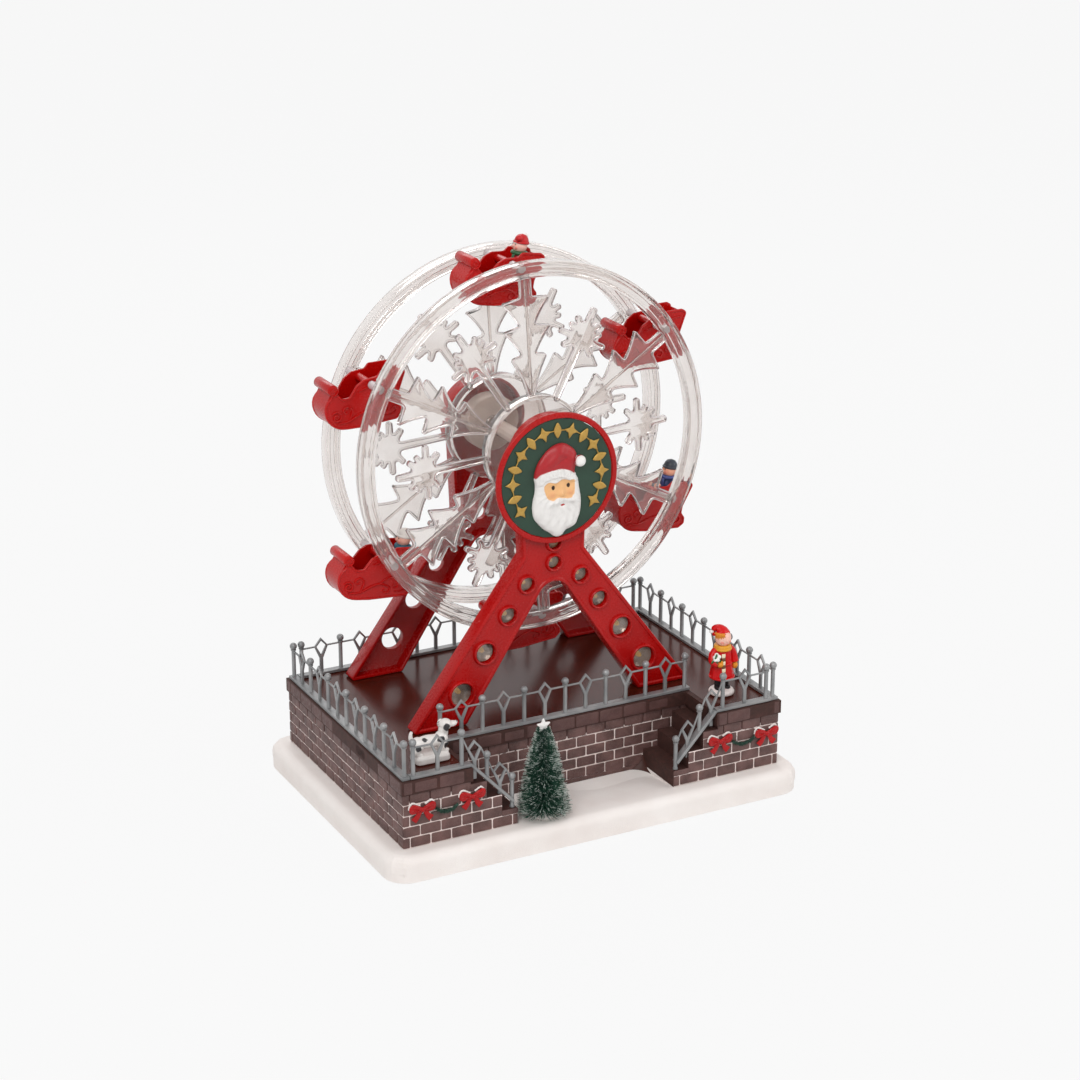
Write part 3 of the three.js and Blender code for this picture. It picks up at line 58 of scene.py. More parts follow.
AZIMUTH, ELEVATION = math.radians(-27.63), math.radians(20.11)
EYE = (-0.6874, -1.3306, 0.7110)
LENS, SENSOR = 85.43, 36.0
SHIFT = (-0.003565, -0.00108)
right = (math.cos(AZIMUTH), math.sin(AZIMUTH), 0)
back = (math.sin(AZIMUTH) * math.cos(ELEVATION), -math.cos(AZIMUTH) * math.cos(ELEVATION),
        math.sin(ELEVATION))
optics = bpy.data.cameras.new("camera")
optics.lens = LENS
optics.sensor_width = SENSOR
optics.shift_x, optics.shift_y = SHIFT
scene.camera = hung("camera", optics, right, np.cross(back, right), back, EYE)
scene.view_settings.view_transform = "Standard"

# Shader maths: a wrapped socket takes part in Python expressions, and each operator adds its node.
# A finish is a material whose nodes end in one Principled shader.


class Link:
    def __init__(self, tree, socket):
        self.tree = tree
        self.socket = socket

    def maths(self, operation, other=0.0):
        return self.tree.node("Math", {"operation": operation}, {0: self, 1: other})

    def __add__(self, other):
        return self.maths("ADD", other)

    def __sub__(self, other):
        return self.maths("SUBTRACT", other)

    def __mul__(self, other):
        return self.maths("MULTIPLY", other)

    def __truediv__(self, other):
        return self.maths("DIVIDE", other)

    def __rsub__(self, other):
        return self.tree.node("Math", {"operation": "SUBTRACT"}, {0: other, 1: self})


class Tree:
    def __init__(self, owner):
        owner.use_nodes = True
        self.tree = owner.node_tree
        self.tree.nodes.clear()

    def node(self, kind, settings=None, sockets=None, output=0):
        node = self.tree.nodes.new("ShaderNode" + kind)
        for name, value in (settings or {}).items():
            setattr(node, name, value)
        for name, value in (sockets or {}).items():
            if isinstance(value, Link):
                self.tree.links.new(value.socket, node.inputs[name])
            else:
                node.inputs[name].default_value = value
        return Link(self, node.outputs[output])


class Finish(Tree):
    def __init__(self, name, **constants):
        self.material = bpy.data.materials.new(name)
        super().__init__(self.material)
        self.shader = self.tree.nodes.new("ShaderNodeBsdfPrincipled")
        self.output = self.tree.nodes.new("ShaderNodeOutputMaterial")
        self.tree.links.new(self.shader.outputs[0], self.output.inputs["Surface"])
        for socket, value in constants.items():
            self.shader.inputs[socket.replace("_", " ")].default_value = value

    def place(self):
        return self.node("TexCoord", output="Object")

    def axes(self, vector):
        return [self.node("SeparateXYZ", None, {0: vector}, output=axis) for axis in range(3)]

    def noise(self, scale, detail, roughness=0.55):
        sockets = {"Vector": self.place(), "Scale": scale, "Detail": detail, "Roughness": roughness}
        return self.node("TexNoise", None, sockets)

    def spread(self, value, low, high, to_low=0.0, to_high=1.0):
        sockets = {"Value": value, "From Min": low, "From Max": high, "To Min": to_low, "To Max": to_high}
        return self.node("MapRange", {"clamp": True}, sockets)

    def mixed(self, share, first, second):
        """From first to second by the share; a colour may be given as six hexadecimal digits."""
        first, second = (paint(end) if isinstance(end, str) else end for end in (first, second))
        return self.node("Mix", {"data_type": "RGBA"}, {0: share, 6: first, 7: second}, output=2)

    def colour(self, *share_and_ends):
        self.set("Base Color", self.mixed(*share_and_ends))

    def set(self, socket, value):
        self.tree.links.new(value.socket, self.shader.inputs[socket])

    def bump(self, height, depth, strength):
        sockets = {"Height": height, "Distance": depth, "Strength": strength}
        self.set("Normal", self.node("Bump", None, sockets))


def paint(hexadecimal):
    """A screen colour as light: c / 12.92 below 0.04045, else ((c + 0.055) / 1.055) ** 2.4."""
    screen = np.array([int(hexadecimal[at:at + 2], 16) for at in (0, 2, 4)]) / 255
    light = np.where(screen <= 0.04045, screen / 12.92, ((screen + 0.055) / 1.055) ** 2.4)
    return (*light.tolist(), 1.0)


def dress(finish, *nodes):
    """The finish goes on the carried-over CAD nodes of these names."""
    for name in nodes:
        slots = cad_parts[name].material_slots
        for at in range(len(slots)):
            slots[at].material = finish.material


# Stage: a pale table and a plain white room. The table keeps the soft shadow, and what the
# camera sees past it is white.
FLOOR = 60.0
WHITE = paint("f9f9f9")
SHADOW_LEFT = 0.965
ROOM_LIGHT = 0.5


def seen(tree):
    """1 for what the camera sees at once, in a reflection or through the clear plastic."""
    direct, glossy, through = (tree.node("LightPath", output=f"Is {kind} Ray")
                               for kind in ("Camera", "Glossy", "Transmission"))
    return direct + glossy + through


table = Finish("table", Roughness=0.9, Base_Color=paint("f4f4f4"), Specular_IOR_Level=0.0)
glow = table.node("Emission", None, {"Color": WHITE, "Strength": 1.0})
lit = Link(table, table.shader.outputs[0])
mix = table.node("MixShader", None, {0: seen(table) * SHADOW_LEFT, 1: lit, 2: glow})
table.tree.links.new(mix.socket, table.output.inputs["Surface"])
floor_mesh = bpy.data.meshes.new("table")
corners = [(x * FLOOR, y * FLOOR, 0) for x, y in ((-1, -1), (1, -1), (1, 1), (-1, 1))]
floor_mesh.from_pydata(corners, [], [(0, 1, 2, 3)])
floor_mesh.materials.append(table.material)
floor = bpy.data.objects.new("table", floor_mesh)
scene.collection.objects.link(floor)

scene.world = bpy.data.worlds.new("room")
room = Tree(scene.world)
dim = room.node("Background", None, {"Color": (1, 1, 1, 1), "Strength": ROOM_LIGHT})
white_room = room.node("Background", None, {"Color": WHITE, "Strength": 1.0})
mix = room.node("MixShader", None, {0: seen(room), 1: dim, 2: white_room})
room.tree.links.new(mix.socket, room.tree.nodes.new("ShaderNodeOutputWorld").inputs["Surface"])

# Light: a large soft box over the front left, a weaker one from the right and one from behind.
# Each has its place, its size in metres and its power in watts.
LAMPS = {"key": ((-0.9, -1.1, 1.5), 1.0, 19.0), "fill": ((1.4, -0.9, 0.9), 1.0, 7.0),
         "rear": ((0.2, 1.2, 1.3), 0.9, 7.5)}
TARGET = np.array((0, 0, 0.15))


def unit(vectors):
    """Each row divided by its length."""
    return vectors / np.linalg.norm(vectors, axis=-1, keepdims=True)


for name, (place, size, power) in LAMPS.items():
    lamp = bpy.data.lights.new(name, "AREA")
    lamp.size = size
    lamp.energy = power
    back = unit(np.array(place) - TARGET)
    side = unit(np.cross((0, 0, 1), back))
    hung(name, lamp, side, np.cross(back, side), back, place)

# Snow base: a white moulded plastic tray with round edges, flocked to look like snow, that falls
# away towards the wall between the stairs. The plinth is screwed to it from below.


class Shell:
    """The points and faces of one piece, in millimetres, made of closed skins. What is put in goes
    through the carry of that moment, which takes it from its drawing to its place."""

    def __init__(self, carry=None):
        self.points = []
        self.faces = []
        self.count = 0
        self.carry = carry

    def put(self, points, faces):
        points = np.reshape(points, (-1, 3)).astype(float)
        self.points.append(self.carry(points) if self.carry else points)
        self.faces += (np.asarray(faces) + self.count).tolist()
        self.count += len(points)

    def tube(self, rings, closed=False, capped=True):
        """Neighbouring rings of equal count are joined by quads; each end is one flat face."""
        rings = np.asarray(rings, float)
        rows, columns = rings.shape[:2]
        at = np.arange(rows * columns).reshape(rows, columns)
        low, high = (at, np.roll(at, -1, 0)) if closed else (at[:-1], at[1:])
        quads = np.stack((low, np.roll(low, -1, 1), np.roll(high, -1, 1), high), -1).reshape(-1, 4)
        start = self.count
        self.put(rings, quads)
        if capped and not closed:
            self.faces += [(start + at[0][::-1]).tolist(), (start + at[-1]).tolist()]

    def object(self, name, finish, slot, body="base", smooth=40):
        """Welds equal points, turns the faces outwards and hangs the piece on its body."""
        mesh = bpy.data.meshes.new(name)
        mesh.from_pydata((np.concatenate(self.points) / 1000).tolist(), [], self.faces)
        shape = bmesh.new()
        shape.from_mesh(mesh)
        bmesh.ops.remove_doubles(shape, verts=shape.verts, dist=2e-6)
        bmesh.ops.recalc_face_normals(shape, faces=shape.faces)
        shape.to_mesh(mesh)
        shape.free()
        mesh.shade_smooth()
        mesh.set_sharp_from_angle(angle=math.radians(smooth))
        mesh.materials.append(finish.material)
        piece = bpy.data.objects.new(name, mesh)
        scene.collection.objects.link(piece)
        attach(piece, body)
        return piece


def carried(shift=(0, 0, 0), turn=0.0, axes=(0, 2), scale=(1, 1, 1), after=None):
    """Scales, turns by the angle from the first axis to the second, shifts and hands on to after."""
    c, s = math.cos(turn), math.sin(turn)
    first, second = axes

    def carry(points):
        points = points * np.array(scale, float)
        out = points.copy()
        out[:, first] = points[:, first] * c - points[:, second] * s
        out[:, second] = points[:, first] * s + points[:, second] * c
        out = out + shift
        return after(out) if after else out

    return carry


def at_height(loop, height):
    """A loop in X and Y as points at one height Z."""
    return np.column_stack((loop, np.full(len(loop), height)))


def laid(line, depth):
    """A line in X and Z as points at one depth Y."""
    return np.column_stack((line[:, 0], np.full(len(line), depth), line[:, 1]))


def offset(loop, inwards):
    """Each corner of an anticlockwise loop moves along its bisector by inwards / cos(half the turn)."""
    loop = np.asarray(loop, float)
    along = unit(np.roll(loop, -1, 0) - loop)
    normal = np.stack((-along[:, 1], along[:, 0]), 1)
    bisector = unit(normal + np.roll(normal, 1, 0))
    stretch = np.maximum((bisector * normal).sum(1, keepdims=True), 0.45)
    return loop + bisector * inwards / stretch


def waved(x, y, seed, size):
    """Soft unevenness: the mean of six sine waves of unlike directions, from -1 to 1."""
    draw = np.random.default_rng(seed)
    turn, phase = draw.uniform(0, 2 * np.pi, (2, 6))
    length = draw.uniform(0.7, 1.6, 6) * size
    waves = [np.sin((x * np.cos(t) + y * np.sin(t)) * 2 * np.pi / s + p)
             for t, p, s in zip(turn, phase, length)]
    return np.mean(waves, 0)


PLINTH_X, PLINTH_Y = 130.0, 87.5
TOWER_X, STAIR_X = 85.8, 54.6
RECESS_Y = -48.5
WALL_HOLD = 1.8
SNOW_X, SNOW_Y, SNOW_Z = 142.5, 100.0, 17.0
SNOW_CORNER, SNOW_ROUND = 15.0, 6.0
SNOW_LOW, SNOW_SKIN = 0.9, 0.12


def snow_plan():
    """The tray's outer loop and the loop inside the brick walls, point by point alike, from the
    back right corner anticlockwise. Corners of the outer loop are arcs."""
    turns = np.linspace(0, np.pi / 2, 9)
    share = np.linspace(0, 1, 40)[1:-1, None]
    corner = np.array([(1, 1), (-1, 1), (-1, -1), (1, -1)])
    hold = np.array((PLINTH_X - WALL_HOLD, PLINTH_Y - WALL_HOLD))
    centre = np.array((SNOW_X - SNOW_CORNER, SNOW_Y - SNOW_CORNER))
    outer, inner = [], []
    for at, sign in enumerate(corner):
        angle = turns + at * np.pi / 2
        bend = sign * centre + SNOW_CORNER * np.stack((np.cos(angle), np.sin(angle)), 1)
        outer.append(bend)
        inner.append(np.repeat([sign * hold], len(turns), 0))
        if at != 2:
            way = (corner[(at + 1) % 4] - sign) * share
            outer.append(bend[-1:] + way * centre)
            inner.append(sign * hold + way * hold)
            continue
        side, back = TOWER_X + WALL_HOLD, RECESS_Y + WALL_HOLD
        wall = np.array([-hold, (-side, -hold[1]), (-side, back), (side, back), (side, -hold[1]),
                         (hold[0], -hold[1])])
        last_x = centre[0] - 0.05
        edge = [-last_x, -side, -side + 12, side - 12, side, last_x]
        for leg, count in enumerate((10, 14, 90, 14, 10)):
            part = np.linspace(0, 1, count, endpoint=False)[:, None]
            inner.append(wall[leg] * (1 - part) + wall[leg + 1] * part)
            x = edge[leg] + (edge[leg + 1] - edge[leg]) * part
            outer.append(np.hstack((x, np.full_like(x, -SNOW_Y))))
        inner.append(wall[-1:])
        outer.append([(last_x, -SNOW_Y)])
    return np.vstack(outer), np.vstack(inner)


def hollow(x, y):
    """Fall of the snow towards the recess wall: 4.5 mm times the share of the way to the wall,
    less on the left, and a low heap of 0.7 mm in the corner by the right stair."""
    share = np.clip((y + PLINTH_Y) / (RECESS_Y + PLINTH_Y), 0, 1)
    side = np.clip(x / (STAIR_X - 0.3) + 0.75, 0.12, 1)
    heap = 0.7 * np.exp(-(((x - 44.0) / 13.0) ** 2)) * np.sin(np.pi * share) ** 2
    return (heap - 4.5 * share * side) * (np.abs(x) < STAIR_X + 24)


def snow_skin():
    """Rows up the side, round the edge by a quarter circle, across the top and back inside."""
    outer, inner = snow_plan()
    rows = [(outer, SNOW_LOW), (outer, (SNOW_LOW + SNOW_Z - SNOW_ROUND) / 2)]
    for turn in np.linspace(0, np.pi / 2, 8):
        height = SNOW_Z - SNOW_ROUND * (1 - np.sin(turn))
        rows.append((offset(outer, SNOW_ROUND * (1 - np.cos(turn))), height))
    shoulder = offset(outer, SNOW_ROUND)
    rows += [(shoulder * (1 - share) + inner * share, SNOW_Z) for share in np.linspace(0, 1, 16)[1:]]
    rows += [(inner, SNOW_Z - 2), (offset(outer, SNOW_ROUND + 2), SNOW_Z - 4), (offset(outer, 2), SNOW_LOW)]
    rings = np.array([at_height(*row) for row in rows])
    x, y = rings[..., 0], rings[..., 1]
    row = np.arange(len(rows))
    on_top = np.clip((row - 6) / 4, 0, 1) * (row < len(rows) - 3)
    rings[..., 2] += on_top[:, None] * (hollow(x, y) + SNOW_SKIN + 0.12 * waved(x, y, 3, 30))
    rings[..., :2] += unit(rings[..., :2]) * SNOW_SKIN * (row < 10)[:, None, None]
    shell = Shell()
    shell.tube(rings, closed=True)
    return shell


snow = Finish("snow", Roughness=0.62)
grain = snow.noise(1800.0, 4.0, 0.6)
patch = snow.noise(26.0, 3.0, 0.6)
snow.colour(snow.spread(patch, 0.3, 0.7), "ebe2dd", "f4eeea")
snow.bump(grain + patch * 0.8, 0.00035, 0.6)
snow_skin().object("snow_skin", snow, "snow")
dress(snow, "snow_base")

# Brick plinth: a hollow grey-brown moulding whose bricks stand proud of the joints. The joints of
# the lower courses are wiped with white paint; the top course and the cap stay dark.
COURSE, COURSES = 7.05, 5
BRICK_LOW, BRICK = 17.35, 13.6
CAP_BRICK, CAP_RAISED = 17.0, 1.0
CAP_Z = (52.6, 60.95)
DECK_Z = 61.0
STEP_RUN, STEP_RISE = 10.4, 11.1
RECESS_LOW = 12.4
FRONT = (0, -1)
WALLS = [((-PLINTH_X, -PLINTH_Y), (-TOWER_X, -PLINTH_Y), FRONT),
         ((TOWER_X, -PLINTH_Y), (PLINTH_X, -PLINTH_Y), FRONT),
         ((-TOWER_X, RECESS_Y), (TOWER_X, RECESS_Y), FRONT),
         ((PLINTH_X, -PLINTH_Y), (PLINTH_X, PLINTH_Y), (1, 0)),
         ((PLINTH_X, PLINTH_Y), (-PLINTH_X, PLINTH_Y), (0, 1)),
         ((-PLINTH_X, PLINTH_Y), (-PLINTH_X, -PLINTH_Y), (-1, 0))]


def squared(turn, power):
    """A squared circle: cosine and sine with their sizes raised to the power."""
    return [np.sign(wave) * np.abs(wave) ** power for wave in (np.cos(turn), np.sin(turn))]


def brick_block(middle, along, out, half_along, half_up, proud):
    """Rounded blocks as rings of a squared circle of twelve points: the ring's size falls and its
    height over the wall grows as in a pillow, r = 1, 1, 0.93, 0.5 at -0.6, 0.55, 1, 1.04 of proud."""
    across, up = squared(np.arange(12) * np.pi / 6 + np.pi / 12, 0.15)
    inset = (1 - np.array((1, 1, 0.93, 0.5)))[:, None]
    depth = np.array((-0.6, 0.55, 1, 1.04))[:, None] * np.ones(12) * proud[:, None, None]
    across = across * (half_along[:, None, None] - inset * 3.5)
    rings = middle[:, None, None] + across[..., None] * along + depth[..., None] * out
    rings[..., 2] += up * (half_up[:, None, None] - inset * 2.5)
    return rings


def coursed(shell, start, end, out, low, height, length, shift, seed, courses=1, proud=0.45, joint=0.72):
    """Courses of a running bond on the wall from start to end, cut off at the wall's ends."""
    start, end = np.array(start, float), np.array(end, float)
    span = np.linalg.norm(end - start)
    along = np.append((end - start) / span, 0)
    draw = np.random.default_rng(seed)
    for course in range(courses):
        cuts = np.arange(-1, span / length + 2) * length + shift + (course % 2) * length / 2
        cuts = np.unique(np.clip(cuts, -joint / 2, span + joint / 2))
        if len(cuts) > 2 and cuts[1] - cuts[0] < 3:
            cuts = np.delete(cuts, 1)
        if len(cuts) > 2 and cuts[-1] - cuts[-2] < 3:
            cuts = np.delete(cuts, -2)
        middles, halves = (cuts[1:] + cuts[:-1]) / 2, (cuts[1:] - cuts[:-1]) / 2 - joint / 2
        count = len(middles)
        middle = at_height(start + middles[:, None] * along[:2], low + height * (course + 0.5))
        half_up = (height - joint) / 2 + draw.uniform(-0.08, 0.05, count)
        halves = halves + draw.uniform(-0.12, 0.08, count)
        depth = proud * draw.uniform(0.8, 1.2, count)
        for rings in brick_block(middle, along, np.array((*out, 0.0)), halves, half_up, depth):
            shell.tube(rings)


lower, cap, feet = Shell(), Shell(), []
for number, (start, end, out) in enumerate(WALLS):
    raised = np.array(out) * CAP_RAISED
    coursed(cap, start + raised, end + raised, out, CAP_Z[0], CAP_Z[1] - CAP_Z[0], CAP_BRICK, 6.0,
            number + 20, proud=0.3, joint=0.5)
    if number > 1:
        coursed(lower, start, end, out, BRICK_LOW, COURSE, BRICK, 4.0, number, COURSES)
for side in (-1, 1):
    for course in range(COURSES):
        low = BRICK_LOW + COURSE * course
        steps = sum(low + COURSE <= DECK_Z - STEP_RISE * step + 0.4 for step in (1, 2, 3))
        x0, x1 = sorted((side * PLINTH_X, side * (TOWER_X - STEP_RUN * steps)))
        coursed(lower, (x0, -PLINTH_Y), (x1, -PLINTH_Y), FRONT, low, COURSE, BRICK,
                4.0 + (course % 2) * BRICK / 2, 60 + course)
    for step in (1, 3):
        top = DECK_Z - STEP_RISE * step
        low = BRICK_LOW + COURSE * int((top - BRICK_LOW) / COURSE)
        x0, x1 = sorted((side * (TOWER_X - STEP_RUN * (step - 1)), side * (TOWER_X - STEP_RUN * step)))
        coursed(lower, (x0 - 0.3, -PLINTH_Y), (x1 + 0.3, -PLINTH_Y), FRONT, low, top - low + 0.25,
                BRICK * 2, 0.0, 70 + step, joint=0.0)
    foot = Shell(carried(scale=(side, 1, 1)))
    bend = np.linspace(0, np.pi / 2, 12)
    rings = []
    for radius, height in ((19.5, 8.0), (18.0, 12.6), (14.6, 14.2), (10.0, 15.8), (6.4, 17.8), (3.2, 20.4),
                           (1.0, 23.2)):
        round_corner = np.column_stack((STAIR_X - radius + radius * np.sin(bend),
                                        RECESS_Y - radius + radius * np.cos(bend)))
        rings.append(at_height(np.vstack(((STAIR_X + 0.4, RECESS_Y + 0.4), round_corner)), height))
    foot.tube(np.array(rings)[:, ::-side])
    skirt = [(STAIR_X - 0.15, 0.1 - PLINTH_Y), (STAIR_X + 1, 0.1 - PLINTH_Y), (STAIR_X + 1, RECESS_Y),
             (STAIR_X - 0.15, RECESS_Y)]
    foot.tube(np.array([at_height(skirt, height) for height in (8.0, 17.6)])[:, ::-side])
    feet.append(foot)
coursed(lower, (-STAIR_X, RECESS_Y), (STAIR_X, RECESS_Y), FRONT, RECESS_LOW, BRICK_LOW - RECESS_LOW + 0.3,
        BRICK * 9, 0.0, 80, joint=0.1)

brick = Finish("brick", Roughness=0.6)
tone = brick.noise(90.0, 2.0)
speck = brick.noise(1500.0, 5.0, 0.7)
streak = brick.noise(420.0, 4.0, 0.6)
shade = brick.mixed(brick.spread(tone, 0.35, 0.65), "4d3431", "6a4b47")
dusty = brick.mixed(brick.spread(speck, 0.5, 0.75) * 0.4, shade, "8f7770")
capped = brick.spread(brick.axes(brick.place())[2], 0.0519, 0.0523)
brick.colour(capped * 0.55, dusty, "4a2a27")
brick.set("Roughness", brick.spread(streak, 0.3, 0.7, 0.42, 0.72))
brick.bump(speck + streak, 0.0002, 0.55)

joint = Finish("joint", Roughness=0.75)
wear = joint.noise(300.0, 4.0, 0.65)
across, _, height = joint.axes(joint.place())
_, front, upwards = joint.axes(joint.node("TexCoord", output="Normal"))
tower_side = joint.spread(across.maths("ABSOLUTE"), 0.124, 0.126)
painted_wall = tower_side.maths("MAXIMUM", joint.spread(front.maths("ABSOLUTE"), 0.4, 0.6))
white_joint = joint.spread(height + wear * 0.012, 0.0515, 0.0535, 1.0, 0.0)
upright = joint.spread(upwards, 0.3, 0.5, 1.0, 0.0) * painted_wall
share = white_joint * upright * joint.spread(wear, 0.25, 0.38)
joint.colour(share, joint.mixed(joint.spread(wear, 0.35, 0.7), "2f140c", "43211a"), "ecdcd6")
joint.bump(wear, 0.0002, 0.4)
dress(joint, "brick_plinth")
lower.object("brick_courses", brick, "brick")
cap.object("cap_course", brick, "brick")

# Deck: a dark brown injection-moulded plate with a polished top, let into the plinth's rebate.
# Where the snow falls away under the stairs, render fills the corners and shows a dark skirt.
deck = Finish("deck", Specular_IOR_Level=0.3)
cloud = deck.noise(12.0, 3.0)
dust = deck.noise(900.0, 3.0, 0.7)
deck.colour(deck.spread(cloud, 0.3, 0.7), "40140b", "4c1d12")
deck.set("Roughness", deck.spread(cloud + dust * 0.3, 0.4, 0.9, 0.16, 0.26))
deck.bump(cloud, 0.0008, 0.12)
dress(deck, "deck_plate")
render = Finish("corner_render", Roughness=0.5, Specular_IOR_Level=0.25)
trowel = render.noise(260.0, 4.0, 0.6)
render.colour(trowel, "351b16", "4b2c26")
render.bump(trowel, 0.0003, 0.4)
for foot, name in zip(feet, ("corner_foot_left", "corner_foot_right")):
    foot.object(name, render, "brick", smooth=50)

# Fences: silver-grey plastic runs, each moulded in one with its strip and pegged into the deck.
# Forked pickets end in a diamond; a thin rail ties the diamonds to round posts with ball tops.
FENCE_Z, FENCE_TOP = 61.3, 25.0
CENTRE_Y, STAIR_Y = -45.9, -84.9
SIDE_X, SIDE_Y = 127.4, 84.2
FORK, WIDEST, SIDE = 11.0, 19.3, 4.7
STAIR_SLOPE = STEP_RISE / STEP_RUN


def plate(shell, outline, holes, rows, hole_rows=None):
    """A plate with holes: loops in X and Z at rows of (inset, y); the first and the last rows are
    filled flat. A hole's inset grows the hole."""
    loops = [np.asarray(outline, float)] + [np.asarray(hole, float)[::-1] for hole in holes]
    ends = []
    for number, loop in enumerate(loops):
        levels = hole_rows if number and hole_rows else rows
        rings = np.array([laid(offset(loop, inset), y) for inset, y in levels])
        shell.tube(rings, capped=False)
        ends.append(rings)
    for end in (0, -1):
        flat = [[(x, z, 0.0) for x, _, z in rings[end]] for rings in ends]
        shell.put(np.vstack([rings[end] for rings in ends]), tessellate_polygon(flat))


def rounded_rows(y0, y1, radius):
    """A plate's edge: an eighth, the flank, and an eighth again."""
    soft = 0.3 * radius
    return [(radius, y0), (soft, y0 + soft), (0, y0 + radius),
            (0, y1 - radius), (soft, y1 - soft), (radius, y1)]


def turned(shell, profile, sides, place=(0, 0, 0), lying=False):
    """A profile of (radius, height) turned about the vertical through place, or about its Y."""
    profile = np.asarray(profile, float)
    turn = np.arange(sides) * 2 * np.pi / sides
    rings = np.stack((profile[:, :1] * np.cos(turn), profile[:, :1] * np.sin(turn),
                      np.repeat(profile[:, 1:], sides, 1)), -1)
    if lying:
        rings = rings[..., (0, 2, 1)] * (1, 1, -1)
    shell.tube(rings + np.asarray(place, float))


def bar(shell, first, last, radii, sides=8, power=1.0):
    """A straight bar between two points whose section is a squared circle of the two radii."""
    first, last = np.array(first, float), np.array(last, float)
    along = unit(last - first)
    side = unit(np.cross(along, (0, 0, 1.0)) if abs(along[2]) < 0.9 else np.array((1.0, 0, 0)))
    across, up = squared(np.arange(sides) * 2 * np.pi / sides, power)
    section = (across * radii[0])[:, None] * side + (up * radii[1])[:, None] * np.cross(side, along)
    shell.tube(np.stack((first + section, last + section)))


def post(shell, x, foot, top):
    """A round shaft with a foot and a collar under a ball."""
    shaft, knob = 1.3, 2.35
    turn = np.linspace(-1.1, np.pi / 2 - 0.02, 8)
    ball = np.column_stack((knob * np.cos(turn), top - knob + knob * np.sin(turn)))
    lead = [(0, foot), (shaft * 1.25, foot), (shaft * 1.25, foot + 1), (shaft, foot + 1.6),
            (shaft, top - 5.4), (shaft * 1.35, top - 5.1), (shaft * 1.35, top - 4.6),
            (shaft * 0.9, top - 4.3)]
    turned(shell, np.vstack((lead, ball, [(0, top)])), 12, (x, 0, 0))


def picket(shell, foot):
    """A stem that forks into an open diamond; the rail leaves it at its widest points."""
    half, stem, thin = 0.8, 1.2, 1.5
    outline = [(-stem, foot), (stem, foot), (stem, FORK), (SIDE, WIDEST), (0, FENCE_TOP), (-SIDE, WIDEST),
               (-stem, FORK)]
    hole = [(0, FORK + thin + 0.7), (SIDE - thin, WIDEST), (0, FENCE_TOP - thin - 0.6), (thin - SIDE, WIDEST)]
    plate(shell, outline, [hole], rounded_rows(-half, half, 0.35))


def run(shell, start, end, bays, slope=0.0):
    """Pickets and rails of equal bays from start to end, with posts between them on a level run;
    the slope lowers them on the way."""
    stand, bay = shell.carry, (end - start) / bays
    for number in range(bays):
        middle = start + number * bay + bay / 2
        shell.carry = carried((middle, 0, -slope * (middle - start)), after=stand)
        picket(shell, 1.0 - 1.2 * slope)
        for way in (-1, 1):
            far = way * (bay / 2 - 0.6)
            bar(shell, (way * (SIDE - 0.4), 0, WIDEST), (far, 0, WIDEST - slope * far), (0.62, 0.62))
    shell.carry = stand
    for number in range(0 if slope else bays + 1):
        post(shell, start + number * bay, 0.5, FENCE_TOP)


def strip(shell, start, end, fall=0.0):
    """The rail's foot: a flat bar with soft edges."""
    bar(shell, (start, 0, 1.0), (end, 0, 1.0 - fall), (2.6, 1.0), 16, 0.25)


metal = Finish("fence", Metallic=0.35, Roughness=0.4)
brushed = metal.noise(700.0, 3.0, 0.6)
metal.colour(metal.spread(metal.noise(60.0, 2.0), 0.35, 0.65), "7f8081", "979797")
metal.set("Roughness", metal.spread(brushed, 0.3, 0.7, 0.34, 0.52))
metal.bump(brushed, 0.0001, 0.35)

for name, half, bays, angle, x, y in (
        ("fence_centre", TOWER_X, 6, 0.0, 0.0, CENTRE_Y),
        ("fence_left", SIDE_Y, 6, math.pi / 2, -SIDE_X, 0.0),
        ("fence_right", SIDE_Y, 6, math.pi / 2, SIDE_X, 0.0),
        ("fence_back", 122.0, 9, 0.0, 0.0, SIDE_Y)):
    fence = Shell(carried((x, y, FENCE_Z), angle, (0, 1)))
    strip(fence, -half - 2.6, half + 2.6)
    run(fence, -half, half, bays)
    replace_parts(fence.object(name + "_run", metal, "fence"), name)
for side, name in ((-1, "fence_stair_left"), (1, "fence_stair_right")):
    fence = Shell(carried((0, STAIR_Y, FENCE_Z), scale=(-side, 1, 1)))
    brink, first, last, foot = -90.3, -122.0, -57.0, -84.8
    bay = (last - brink) / 2
    strip(fence, first - 2.6, foot)
    run(fence, first, brink, 1)
    strip(fence, foot, last, STAIR_SLOPE * (last - foot))
    run(fence, brink, last, 2, STAIR_SLOPE)
    post(fence, brink + bay, -STAIR_SLOPE * (brink + bay - foot), FENCE_TOP - STAIR_SLOPE * bay)
    post(fence, last, -3 * STEP_RISE, FENCE_TOP - STAIR_SLOPE * 2 * bay)
    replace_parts(fence.object(name + "_run", metal, "fence"), name)

# A-frames: two red injection-moulded shells with the open side towards the wheel. Each stands in
# the deck on two feet and has a bead along its edge and a collar round every lamp hole.
WHEEL_Y, WHEEL_Z = 21.5, 223.5
FRAME_FACE, FRAME_DEPTH, FRAME_WALL = 52.9, 11.0, 2.0
LAMP_HOLES = [(0, 109, 4.2), (0, 96, 4.2)] + [(side * x, z, radius) for side in (1, -1) for x, z, radius in (
    (18.7, 84.8, 4.6), (31.7, 66.6, 5.2), (47.5, 45, 6.4), (63.8, 20.7, 7.4))]


def arc(x, z, radius, start, end, steps):
    turn = np.radians(np.linspace(start, end, steps))
    return np.column_stack((x + radius * np.cos(turn), z + radius * np.sin(turn)))


def circle(x, z, radius, steps=40):
    return arc(x, z, radius, 0, 360 * (1 - 1 / steps), steps)


